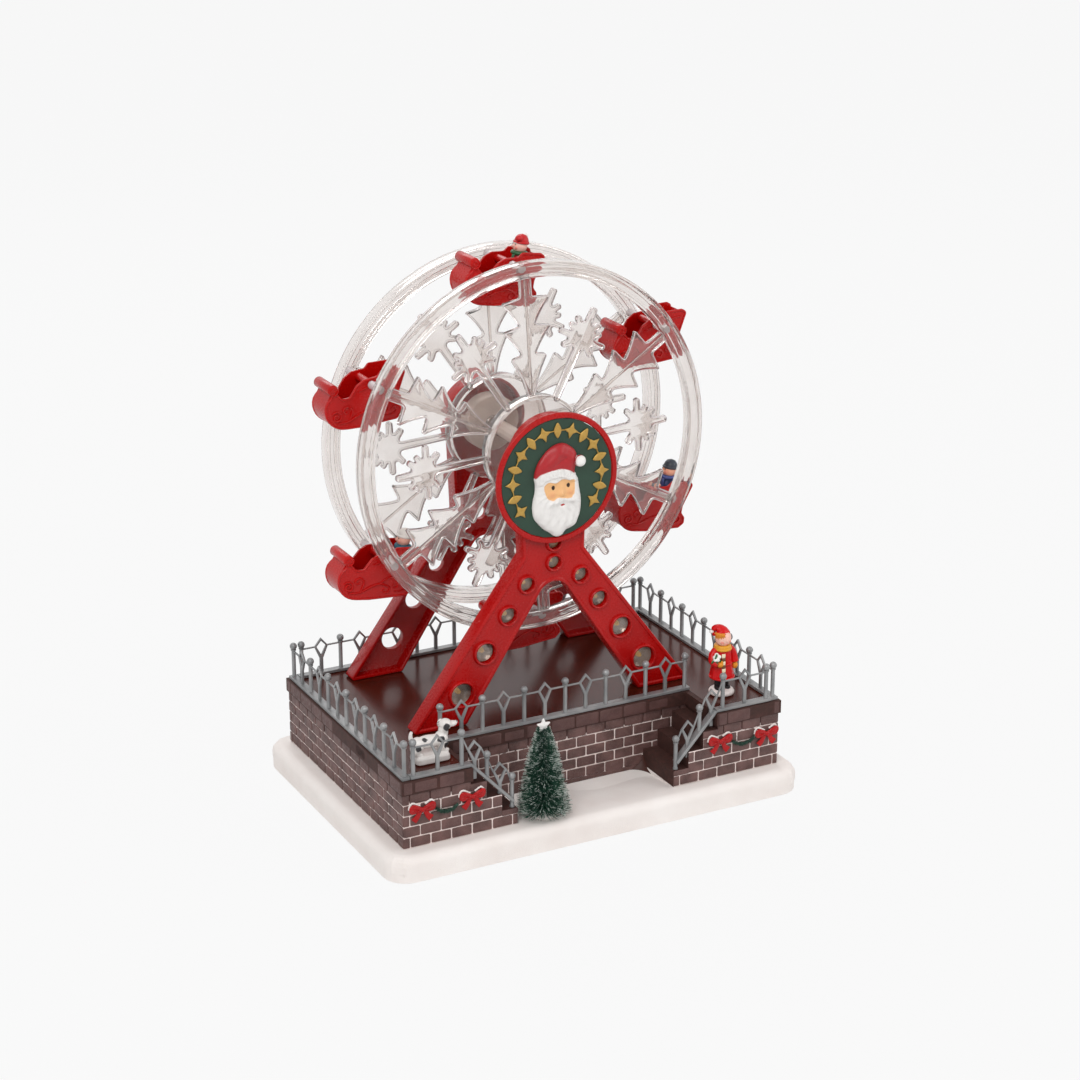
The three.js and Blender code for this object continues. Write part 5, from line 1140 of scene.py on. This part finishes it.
def relief_paint(points):
    """White hair and beard, red cap, light skin, brown eyes, red lips, by place."""
    x, z = points[:, 0] - RELIEF[0], points[:, 2] - RELIEF[2]
    face = soft(edge_distance(x, z, FACE_LINE), -0.25, 0.25)
    blush = (hill(x, z, -5.2, -1.6, 2.4, 2.0) + hill(x, z, 7.4, -1.4, 2.4, 2.0)) * face * 0.4
    layers = [("a8262b", soft(edge_distance(x, z, CAP_LINE), -0.15, 0.15)), ("e9b680", face),
              ("e08a66", blush), ("efedea", np.hypot(x - POMPOM[0], z - POMPOM[1]) < 3.5)]
    layers += [("35241b", np.hypot((x - eye_x) / 0.95, (z - eye_z) / 1.15) < 1.22) for eye_x, eye_z in EYES]
    layers.append(("b8322e", np.hypot((x - MOUTH[0]) / 1.35, (z - MOUTH[1]) / 0.7) < 1.05))
    colour = np.tile(paint("e6e3e0")[:3], (len(points), 1))
    for pigment, share in layers:
        colour += (np.array(paint(pigment)[:3]) - colour) * share[:, None]
    return colour


def tinted(piece, rule):
    """Writes the colour that the rule gives for each vertex, in millimetres, into the attribute tint."""
    mesh = piece.data
    points = np.empty(len(mesh.vertices) * 3)
    mesh.vertices.foreach_get("co", points)
    colour = rule(points.reshape(-1, 3) * 1000)
    layer = mesh.color_attributes.new("tint", "FLOAT_COLOR", "POINT")
    layer.data.foreach_set("color", np.column_stack((colour, np.ones(len(colour)))).ravel())


painted = Finish("painted", Specular_IOR_Level=0.25, Roughness=0.4, Coat_Weight=0.08, Coat_Roughness=0.15)
pigment = painted.node("Attribute", {"attribute_name": "tint"})
wear = painted.noise(260.0, 3.0, 0.6)
painted.colour(painted.spread(wear, 0.5, 0.8) * 0.12, pigment, "6b5a52")
painted.bump(wear, 0.00025, 0.25)
relief_piece = relief.object("medallion_relief", painted, "white", smooth=60)
tinted(relief_piece, relief_paint)
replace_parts(relief_piece, "medallion_head")

# Riders: three painted figures pushed onto the seats, each a coat, arms, a scarf, a head and a hat.
# They are cast in one piece and painted by hand.


def egg(shell, radii, middle, columns=24, rows=14, lean=(0.0, 0.0, 0.0)):
    """A stretched ball: middle + R (rx cos a cos b, ry cos a sin b, rz sin a)."""
    a = np.linspace(-np.pi / 2 + 0.04, np.pi / 2 - 0.04, rows)[:, None]
    b = np.arange(columns)[None] * 2 * np.pi / columns
    points = np.stack((np.cos(a) * np.cos(b), np.cos(a) * np.sin(b), np.sin(a) * np.ones_like(b)), -1) * radii
    turn = np.array(Euler([math.radians(t) for t in lean]).to_matrix())
    shell.tube(points @ turn.T + np.asarray(middle, float))


def hoop(shell, x, y, z, radius, thick, flat=1.0, lean=0.0):
    """A torus about the vertical through (x, y); it rises by lean along X."""
    a, b = np.arange(36)[:, None] * np.pi / 18, np.arange(12) * np.pi / 6
    ring = radius + thick * np.cos(b)
    shell.tube(np.stack((x + ring * np.cos(a), y + ring * np.sin(a),
                         z + thick * flat * np.sin(b) + lean * ring * np.cos(a)), -1), closed=True)


class Doll(Shell):
    """A shell whose parts keep the paint that was dipped into before they were put in."""

    def __init__(self, carry):
        super().__init__(carry)
        self.paints = []

    def dip(self, pot):
        self.pot = paint(pot)[:3]
        return self

    def put(self, points, faces):
        super().put(points, faces)
        self.paints.append(np.tile(self.pot, (len(self.points[-1]), 1)))

    def finish(self, name, body="base"):
        points, colours = np.concatenate(self.points), np.concatenate(self.paints)
        piece = self.object(name, painted, "red", body, 60)
        tree = KDTree(len(points))
        for number, point in enumerate(points):
            tree.insert(point, number)
        tree.balance()
        tinted(piece, lambda places: colours[[tree.find(place)[1] for place in places]])
        return piece


# The paints of hat, skin, scarf, coat and sleeve, and how far the head sinks and leans back
RIDERS = {2: ("c01d22", "f3c3b4", "2f5a38", "b0202a", "c2161e", 2.6, 0.5),
          4: ("dcd6d0", "f0b9a6", "2c6274", "a32028", "a5242c", 2.6, 6.4),
          6: ("3b4048", "f2ae90", "47538a", "3a4a72", "2d3a5c", 0.0, 0.0)}
SEAT_Z, COLLAR_Z = -11.2, 8.0


def seated(place, drop, lean_back):
    """The figure sinks and leans back by its height over the seat, then goes to its sleigh."""
    level = carried(place, -SLEIGH_LEAN)

    def carry(points):
        share = np.clip((points[:, 2] - SEAT_Z) / (COLLAR_Z - SEAT_Z), 0, 1)
        return level(points + np.column_stack((lean_back * share**2, 0 * share, -drop * share)))

    return carry


for number, (hat, skin, scarf, coat, sleeve, drop, lean_back) in RIDERS.items():
    doll = Doll(seated(pivots[number], drop, lean_back))
    turned(doll.dip(coat), [(0.1, SEAT_Z), (4.6, SEAT_Z), (5.1, SEAT_Z + 0.8), (5.2, -6), (5.0, -2),
                            (4.6, 3), (3.9, 7), (0.1, 8)], 28, (9.2, 0, 0))
    for side in (-1, 1):
        strand(doll.dip(sleeve), [(9.6, side * 4.2, 5.6), (8.0, side * 5.5, 1.6), (4.6, side * 5.2, 0.6),
                                  (1.6, side * 3.9, 2.6)], 14, (1.9, 1.4), 14)
        egg(doll.dip(skin), (1.4, 1.3, 1.3), (0.9, side * 3.6, 3.0), 14, 8)
        egg(doll.dip("e58f80"), (0.5, 1.1, 0.9), (5.1, side * 2.3, 11.4), 12, 6)
        egg(doll.dip("3a2c28"), (0.4, 0.45, 0.5), (4.95, side * 1.6, 13.4), 10, 6)
    egg(doll.dip(skin), (4.5, 4.4, 4.7), (9.0, 0, 12.5))
    egg(doll, (0.7, 0.6, 0.6), (4.6, 0, 12.2), 10, 6)
    hoop(doll.dip(scarf), 9.1, 0, 8.1, 3.9, 1.5, 0.95)
    wire(doll, curved([(5.0, -1.2, 8), (4.1, -2.0, 5.0), (4.4, -2.2, 1.0)], 12), (1.3, 0.55), 10, (0, 1, 0))
    hoop(doll.dip(hat), 9.5, 0, 14.6, 4.0, 1.1, 0.9)
    turned(doll, [(4.5, 14.6), (4.4, 16.0), (3.8, 17.6), (2.6, 19.0), (0.1, 19.8)], 28, (9.6, 0, 0))
    if number == 2:
        egg(doll, (2.2, 2.4, 2.0), (6.0, -3.0, 17.4))
        hoop(doll.dip("f0ece8"), 9.4, 0, 14.4, 4.1, 0.85)
        egg(doll, (1.5, 1.5, 1.5), (12.6, 1.2, 18.6))
    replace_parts(doll.finish(f"rider_figure_{number}", f"carriage_{number}"), f"rider_{number}")

# Child: a painted figure with a red hat and coat, a gold scarf, mittens, a bunch of white flowers
# and a striped ribbon down the coat, cast in one with its snow foot and glued to the deck.
CHILD_AT = np.array((103.5, -61.9, 61.3))
GOLD, SNOW_WHITE = "e0a032", "ede3df"


def at_child(points):
    """Drawn at 50 mm and taken down to 47, the part above the brow more than the rest."""
    out = points * (0.96, 0.96, 0.95)
    out[:, 2] -= 0.25 * np.maximum(points[:, 2] - 42.5, 0)
    return out + CHILD_AT


child = Doll(at_child)
turned(child.dip(SNOW_WHITE), [(0.1, 0), (7.4, 0), (8.4, 0.7), (8.6, 1.9), (7.8, 3.2), (6.2, 3.9),
                               (3, 4.1), (0.1, 4.1)], 36)
for side in (-1, 1):
    leg = [(side * 3.0, 0, 3.6), (side * 3.1, 0.1, 8), (side * 2.9, 0, 13)]
    strand(child.dip("231c1e"), leg, 8, (2.1,), 16)
    egg(child, (2.4, 3.5, 1.9), (side * 3.1, -1.0, 4.7))
    egg(child.dip("ea9686"), (1.3, 0.5, 1.0), (side * 2.9, -4.6, 38.2), 14, 8, (0, 0, side * 28))
    egg(child.dip("33221e"), (0.5, 0.4, 0.62), (side * 1.9, -5.1, 40.4), 12, 8)
profile = curved([(0.2, 12.2), (6.4, 11.6), (8.2, 12.2), (7.9, 15.5), (7.1, 21), (6.2, 27), (5.7, 31),
                  (4.2, 34.2), (0.2, 35)], 34)
turn, radius, height = np.arange(72) * 2 * np.pi / 72, profile[:, :1], profile[:, 1:]
wave = 1 + 0.055 * soft(-height, -30, -12) * np.cos(7 * turn + 0.6 + 0.04 * height)
wave = wave + 0.015 * np.cos(13 * turn)
child.dip("cc0309").tube(np.stack((radius * wave * np.cos(turn), 0.86 * radius * wave * np.sin(turn),
                                   np.repeat(height, 72, 1)), -1))
hoop(child, 0, 0, 12.6, 7.9, 0.75, 1.2)
hoop(child, 0, 0.2, 22.4, 6.5, 0.5, 1.6)
strand(child, [(5.2, 0, 32.2), (7.6, 0, 29), (8.6, -0.4, 24.8), (8.9, -1.2, 21.6)], 16, (2.3, 2.8), 18)
strand(child, [(-5.2, 0, 32.2), (-8.0, -0.8, 29), (-8.8, -2.8, 25.4), (-6.4, -5.2, 23.6)], 18, (2.3, 2.8), 18)
egg(child.dip("e0912a"), (2.1, 1.9, 2.6), (9.0, -1.6, 19.2))
egg(child, (2.3, 1.9, 1.9), (-5.0, -6.0, 23.4))
egg(child, (0.9, 0.9, 1.4), (-4.2, -6.8, 24.9))
hoop(child.dip(GOLD), 0, 0, 34.0, 4.3, 1.55, 0.9)
hoop(child, 0, -0.4, 32.7, 4.9, 1.2, 0.9)
for number in range(7):
    top = np.array((-2.6 - 0.06 * number, -5.9 - 0.25 * number, 30.6 - 2.5 * number))
    low = top + (-0.1, -0.25, -2.5)
    stripe = curved([top, (top + low) / 2 + (0, -0.25, 0), low], 6)
    wire(child.dip("6b4a2c" if number % 2 else "f1e3c2"), stripe, (1.35, 0.55), 12, (1, 0, 0))
egg(child.dip("f3c2b2"), (5.4, 5.3, 6.0), (0, -0.6, 40.2), 32, 18)
egg(child, (0.75, 0.7, 0.7), (0.2, -5.6, 39.2), 12, 8)
egg(child.dip("ea9686"), (1.0, 0.35, 0.4), (0.1, -5.05, 36.9), 12, 6)
draw = np.random.default_rng(11)
for number in range(7):
    angle = math.radians(-178 + number * 11.5)
    out = np.array((math.cos(angle), math.sin(angle), 0))
    lock = [out * 4.6 + (-0.6, 0.2, 45.0), out * 5.3 + (-0.3, -0.2, 44.0 - draw.uniform(0, 0.4)),
            out * 5.4 + (0.2, -0.3, 42.9 - draw.uniform(0, 0.6) - 2.6 * abs(math.cos(angle)))]
    strand(child.dip("dd8a2a"), lock, 8, (0.9, 0.35))
hat_line = curved([(-0.6, 1.6, 43.2), (-1.1, 2.0, 45.0), (-2.0, 2.6, 46.8), (-3.8, 3.2, 47.4),
                   (-5.6, 3.4, 46.0)], 22)
hat_wide = np.interp(np.linspace(0, 1, 22), (0, 0.3, 0.55, 0.8, 1), (5.9, 5.3, 3.8, 2.4, 1.4))[:, None]
wire(child.dip("cf040a"), hat_line, hat_wide, 28, (1, 0, 0))
hoop(child, -0.7, 1.3, 43.6, 5.0, 1.1, 0.9, 0.04)
egg(child.dip("eceae6"), (1.6, 1.6, 1.6), (-6.4, 3.5, 44.6))
egg(child.dip("6f6c70"), (1.5, 2.3, 2.4), (5.3, -0.6, 39.8))
strand(child, [(5.2, 0, 41.5), (3.6, 0, 45.4), (0.2, 0.2, 47.2)], 14, (0.45,))
for middle in ((-7.6, -5.2, 28.8), (-6.0, -5.8, 29.3), (-9.1, -5.6, 29.4), (-7.3, -6.4, 27.5),
               (-7.4, -5.0, 30.6), (-8.9, -6.2, 27.8)):
    egg(child.dip("f1f0ea"), (1.5, 1.4, 1.4), middle, 14, 9)
for *middle, lean in ((-10.2, -5.4, 26.8, 40), (-5.2, -5.8, 26.5, -42), (-7.6, -6.6, 25.5, 0),
                      (-8.8, -6.8, 30.2, 20)):
    egg(child.dip("2f6a3c"), (0.8, 0.5, 2.1), middle, 12, 8, (0, lean, 0))
wire(child, [(-7.2, -5.0, 27), (-6.4, -5.4, 24.5), (-5.6, -5.6, 21.5)], 0.7)
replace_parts(child.finish("child"), "child_figure")

# Dog: a white painted figure with black patches on a snow block, moulded in one piece and glued to
# the left tower. Its parts are melted into one skin.
DOG_AT = np.array((-102.1, -66.1, 61.3))
PATCHES = ((9.4, -4.6, 20.6, 2.5), (9.4, 4.6, 20.6, 2.5), (5.4, -4.6, 13.4, 2.3), (9.0, -4.2, 9.2, 2.0),
           (-4.6, -3.2, 15.2, 1.8), (-9.4, -4.4, 10.2, 1.8), (1.4, 3.6, 14.6, 3.0), (18.2, 0, 21.4, 1.0))

dog = Shell(carried(DOG_AT))
for radii, middle in (
        ((10.4, 4.4, 3.9), (-1, 0, 12.0)), ((4.2, 4.6, 4.4), (-8.0, 0, 11.4)),
        ((4.2, 4.5, 4.9), (7.4, 0, 12.2)), ((3.0, 3.0, 5.2), (8.8, 0, 16.4)),
        ((4.0, 3.8, 3.5), (10.2, 0, 20.9)), ((3.7, 2.4, 1.9), (14.2, 0, 20.4)),
        ((0.9, 1.0, 0.8), (17.6, 0, 21.2)), ((2.2, 0.9, 3.0), (8.8, -3.8, 20.2)),
        ((2.2, 0.9, 3.0), (8.8, 3.8, 20.2))):
    egg(dog, radii, middle, 32, 20)
for paw, hip, width in ((-9.0, -8.2, 1.8), (8.0, 9.0, 1.7)):
    for side in (-1, 1):
        strand(dog, [(hip, side * 2.6, 11), (paw - 0.8, side * 2.8, 8.0), (paw, side * 2.8, 4.4)], 12,
               (width + 0.8, width * 0.85), 18)
        egg(dog, (2.4, 1.8, 1.4), (paw + 0.9, side * 2.8, 5.6))
strand(dog, [(-10.8, 0, 13.2), (-12.4, 0, 15.6), (-12.6, 0, 18.2), (-11.9, 0, 20.4)], 14, (1.8, 0.9), 16)
block = rounded([(-11.2, -6.8), (11.2, -6.8), (11.2, 6.8), (-11.2, 6.8)], 3.0, 8)
dog.tube([at_height(offset(block, inset), height)
          for inset, height in ((0.6, 0.0), (0, 0.6), (0.2, 3.4), (1.0, 4.7), (2.2, 5.1))])
coat = Finish("dog_coat", Roughness=0.4, Coat_Weight=0.3, Coat_Roughness=0.2)
edge = coat.noise(420.0, 3.0)
spots = None
for *place, radius in PATCHES:
    sockets = {0: coat.place(), 1: tuple((np.array(place) + DOG_AT) / 1000)}
    away = coat.node("VectorMath", {"operation": "DISTANCE"}, sockets, output=1)
    spot = coat.spread(away + (edge - 0.5) * 0.0022, radius / 1000 - 0.0002, radius / 1000 + 0.0002, 1.0, 0.0)
    spots = spots.maths("MAXIMUM", spot) if spots else spot
coat.colour(spots, coat.mixed(edge, "ddd6d2", "ebe6e2"), "242024")
coat.bump(edge, 0.0004, 0.4)
dog_piece = dog.object("dog", coat, "white")
remesh = dog_piece.modifiers.new("one_skin", "REMESH")
remesh.mode = "VOXEL"
remesh.voxel_size = 0.0003
remesh.use_smooth_shade = True
dog_piece.modifiers.new("evened", "SMOOTH").iterations = 5
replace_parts(dog_piece, "dog_figure")

# Tree: a bottle brush of green bristles twisted into a wire, the tips dipped in white, on a white
# foot, with a small white star on top. The foot is glued to the snow.
TREE = np.array((-35.8, -85.2, 17.3))
BRISTLES, BRUSH_TURNS, WIRE_TURNS = 3600, 61, 17
BRUSH_LOW, BRUSH_TOP = 2.6, 58.0
REACH = ((0.0, 17.6), (0.08, 18.0), (0.33, 14.2), (0.66, 10.8), (0.9, 6.6), (1.0, 4.6))

stem = Shell(carried(TREE))
steps = np.linspace(0, 1, 160)
for start in (0, np.pi):
    twist = start + steps * 2 * np.pi * WIRE_TURNS
    wire(stem, np.column_stack((0.42 * np.cos(twist), 0.42 * np.sin(twist), 1.2 + steps * 55.6)), 0.38, 6)
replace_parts(stem.object("tree_wire", steel, "steel"), "tree_stem")
foot = Shell(carried(TREE))
turned(foot, [(0.1, 0.02), (6.2, 0.02), (6.5, 0.4), (6.1, 1.5), (5.2, 2.3), (2.2, 2.6), (1.4, 3.2),
              (0.1, 3.3)], 40)
foot.object("tree_foot", snow, "snow")

# Each bristle is three rings of three points: it leaves the wire, rises by lift and droops
draw = np.random.default_rng(5)
along = (np.arange(BRISTLES) + 0.5) / BRISTLES
angle = along * 2 * np.pi * BRUSH_TURNS + draw.normal(0, 0.16, BRISTLES)
length = np.interp(along, *np.transpose(REACH)) * draw.uniform(0.86, 1.04, BRISTLES)
lift = 0.08 + 0.1 * np.abs(draw.normal(0, 1, BRISTLES)) + 0.3 * along
out = np.column_stack((np.cos(angle) * np.cos(lift), np.sin(angle) * np.cos(lift), np.sin(lift)))
side = np.column_stack((-np.sin(angle), np.cos(angle), np.zeros(BRISTLES)))
over = np.cross(out, side)
root = np.zeros((BRISTLES, 3))
root[:, 2] = BRUSH_LOW + (BRUSH_TOP - BRUSH_LOW) * along - length * np.sin(lift) * 0.4
sections = []
for share, radius in ((0.03, 0.16), (0.62, 0.15), (1.0, 0.1)):
    middle = root + out * (length * share)[:, None] - (0.06 * length * share**2)[:, None] * (0, 0, 1)
    sections.append(np.stack([middle + radius * (math.cos(t) * side + math.sin(t) * over)
                              for t in (0.5, 2.6, 4.7)], 1))
single = [(row + at, row + (at + 1) % 3, row + 3 + (at + 1) % 3, row + 3 + at)
          for row in (0, 3) for at in range(3)]
first = np.arange(BRISTLES)[:, None, None] * 9
brush = Shell(carried(TREE))
brush.put(np.stack(sections, 1), (np.array(single) + first).reshape(-1, 4))
brush.faces += (np.array([(2, 1, 0), (6, 7, 8)]) + first).reshape(-1, 3).tolist()
turned(brush, [(0.2, BRUSH_LOW - 0.6), (1.7, BRUSH_LOW), (1.5, 30), (1.0, BRUSH_TOP),
               (0.2, BRUSH_TOP + 0.5)], 14)
pine = Finish("pine", Roughness=0.55)
low_end = (TREE + (0, 0, BRUSH_LOW)) / 1000
off_x, off_y, up = (axis - float(start) for axis, start in zip(pine.axes(pine.place()), low_end))
away = (off_x * off_x + off_y * off_y).maths("POWER", 0.5)
share = up / ((BRUSH_TOP - BRUSH_LOW) / 1000)
reach = REACH[1][1] / 1000 - share * ((REACH[1][1] - REACH[-1][1]) / 1000)
frost = pine.spread(away / reach + (pine.noise(330.0, 2.0) - 0.5) * 1.9, 0.92, 1.05)
leaf_green = pine.mixed(pine.spread(pine.noise(150.0, 2.0), 0.3, 0.7), "143c2e", "2a5c46")
pine.colour(frost * 0.85, leaf_green, "e2ebe4")
brush_piece = brush.object("tree_bristles", pine, "pine", smooth=80)
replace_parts(brush_piece, "tree_brush_1", "tree_brush_2", "tree_brush_3", "tree_brush_4")

white = Finish("white_paint", Roughness=0.4, Coat_Weight=0.2)
chalk = white.noise(500.0, 3.0)
white.colour(chalk, "e4e0dc", "efecea")
white.bump(chalk, 0.0002, 0.3)
star = Shell(carried(TREE + (0, 0, 59.8)))
tips = rounded(starred(2.4, 5.4, 5, math.radians(126)), 0.5, 3)
half = [(0.06, 1.35), (0.55, 1.05), (0.93, 0.6), (1, 0.3)]
star.tube([laid(tips * share, -y) for share, y in half] + [laid(tips * share, y) for share, y in half[::-1]])
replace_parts(star.object("tree_top_star", white, "white", smooth=30), "tree_star")

# Bows and garlands: glossy red ribbons with a ridge of snow on each loop, and short green swags,
# glued to the tower fronts.
BOWS = ((-118.3, 42.0), (-85.5, 43.1), (86.8, 42.3), (120.9, 40.7))
SWAGS, NEEDLES = ((-109.0, -95.0), (96.0, 112.0)), 260
WALL_Y = -87.8
LOOP = ((0.4, -1.3, 0.2), (3.2, -2.0, 1.9), (6.2, -1.9, 2.9), (7.3, -1.5, 1.6), (6.8, -1.1, -0.6),
        (4.8, -0.9, -1.1), (2.2, -0.8, -0.6), (0.2, -0.8, -0.2))
TAIL = ((0.3, -1.0, -0.4), (2.4, -1.4, -2.6), (3.6, -1.1, -4.8), (5.8, -1.0, -7.0))
RIDGE = ((1.2, 0.1, 1.8), (3.6, 0.0, 3.3), (6.2, 0.0, 4.3), (7.9, 0.0, 2.6), (8.2, 0.0, 0.6))

ribbon = red_plastic("ribbon", "960206", "b8080c", 0.22)
for number, (x, z) in enumerate(BOWS, 1):
    bow, dabs = (Shell(carried((x, WALL_Y - 0.2, z))) for _ in range(2))
    draw = np.random.default_rng(70 + number)
    for side in (-1, 1):
        mirror = (side, 1, 1)
        width = 0.95 * (1.0 + 0.55 * np.sin(np.pi * np.linspace(0, 1, 30)))
        thick_wide = np.column_stack((np.full(30, 0.75), width))
        wire(bow, curved(np.multiply(LOOP, mirror), 30), thick_wide, 12, (0, 1, 0))
        thick_wide = np.column_stack((np.full(16, 0.35), np.linspace(1.1, 2.2, 16)))
        wire(bow, curved(np.multiply(TAIL, mirror), 16), thick_wide, 10, (0, 1, 0))
        egg(bow, (3.3, 0.9, 1.9), (4.5 * side, -1.3, 0.7), lean=(0, -16 * side, 0))
        for crease in (-1.2, 1.4):
            fold = ((1.0, -1.9, 0.1), (3.4, -2.35, 0.6 + 0.5 * crease), (5.6, -2.0, 0.9 + 1.1 * crease))
            strand(bow, np.multiply(fold, mirror), 10, (0.5, 0.2))
        ridge = curved(np.multiply(RIDGE, mirror), 26)[3 if side > 0 else 0:22 if side > 0 else 26]
        wire(dabs, ridge, 0.55 + 0.25 * draw.random((len(ridge), 1)), 8, (0, 1, 0))
    egg(bow, (1.5, 1.1, 1.5), (0, -1.9, 0))
    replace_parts(bow.object(f"bow_ribbon_{number}", ribbon, "red", smooth=60), f"bow_{number}")
    dabs.object(f"bow_snow_{number}", snow, "snow")

needles = Finish("swag_green", Roughness=0.6)
needles.colour(needles.spread(needles.noise(500.0, 2.0), 0.3, 0.7), "0f2a1f", "204838")


def sagging(x0, x1, share):
    """A parabola that sags by 3 mm between its ends."""
    share = np.asarray(share)
    sag = 12 * share * (1 - share)
    return np.stack((x0 + (x1 - x0) * share, np.full(share.shape, WALL_Y - 1.3), 40.2 - sag), -1)


for number, ends in enumerate(SWAGS, 1):
    swag = Shell()
    wire(swag, sagging(*ends, np.linspace(0, 1, 24)), 0.8)
    draw = np.random.default_rng(90 + number)
    for _ in range(NEEDLES):
        place = sagging(*ends, draw.uniform(0, 1))
        turn = draw.uniform(-0.35, math.pi + 0.35)
        way = unit(np.array((draw.uniform(-0.7, 0.7), -math.sin(turn), math.cos(turn))))
        bar(swag, place, place + way * draw.uniform(1.2, 1.75), (0.14, 0.14), 4)
    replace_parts(swag.object(f"swag_{number}", needles, "pine"), f"garland_{number}")

# Electrics and small parts on the underside and the rear wall: black moulded boxes, door, switch
# and loudspeaker, a green circuit board, steel-jacketed cells and brass contacts.
black = Finish("black", Roughness=0.4)
scuff = black.noise(400.0, 3.0)
black.colour(scuff, "1c1b1d", "2b2a2c")
black.bump(scuff, 0.0002, 0.3)
dress(black, "battery_box", "battery_door", "switch_body", "loudspeaker", "switch_knob")
board = Finish("board", Roughness=0.35)
board.colour(board.spread(board.noise(300.0, 2.0), 0.45, 0.55), "1d5a34", "2b7043")
dress(board, "circuit_board")
jacket = Finish("cell_jacket", Metallic=0.3, Roughness=0.3)
jacket.colour(jacket.noise(90.0, 2.0), "8c8f94", "a7a9ad")
dress(jacket, "battery_cell_1", "battery_cell_2", "battery_cell_3")
brass = Finish("brass", Metallic=0.9, Roughness=0.3)
brass.colour(brass.noise(700.0, 2.0), "b39552", "cfb377")
dress(brass, "battery_contact_left", "battery_contact_right")
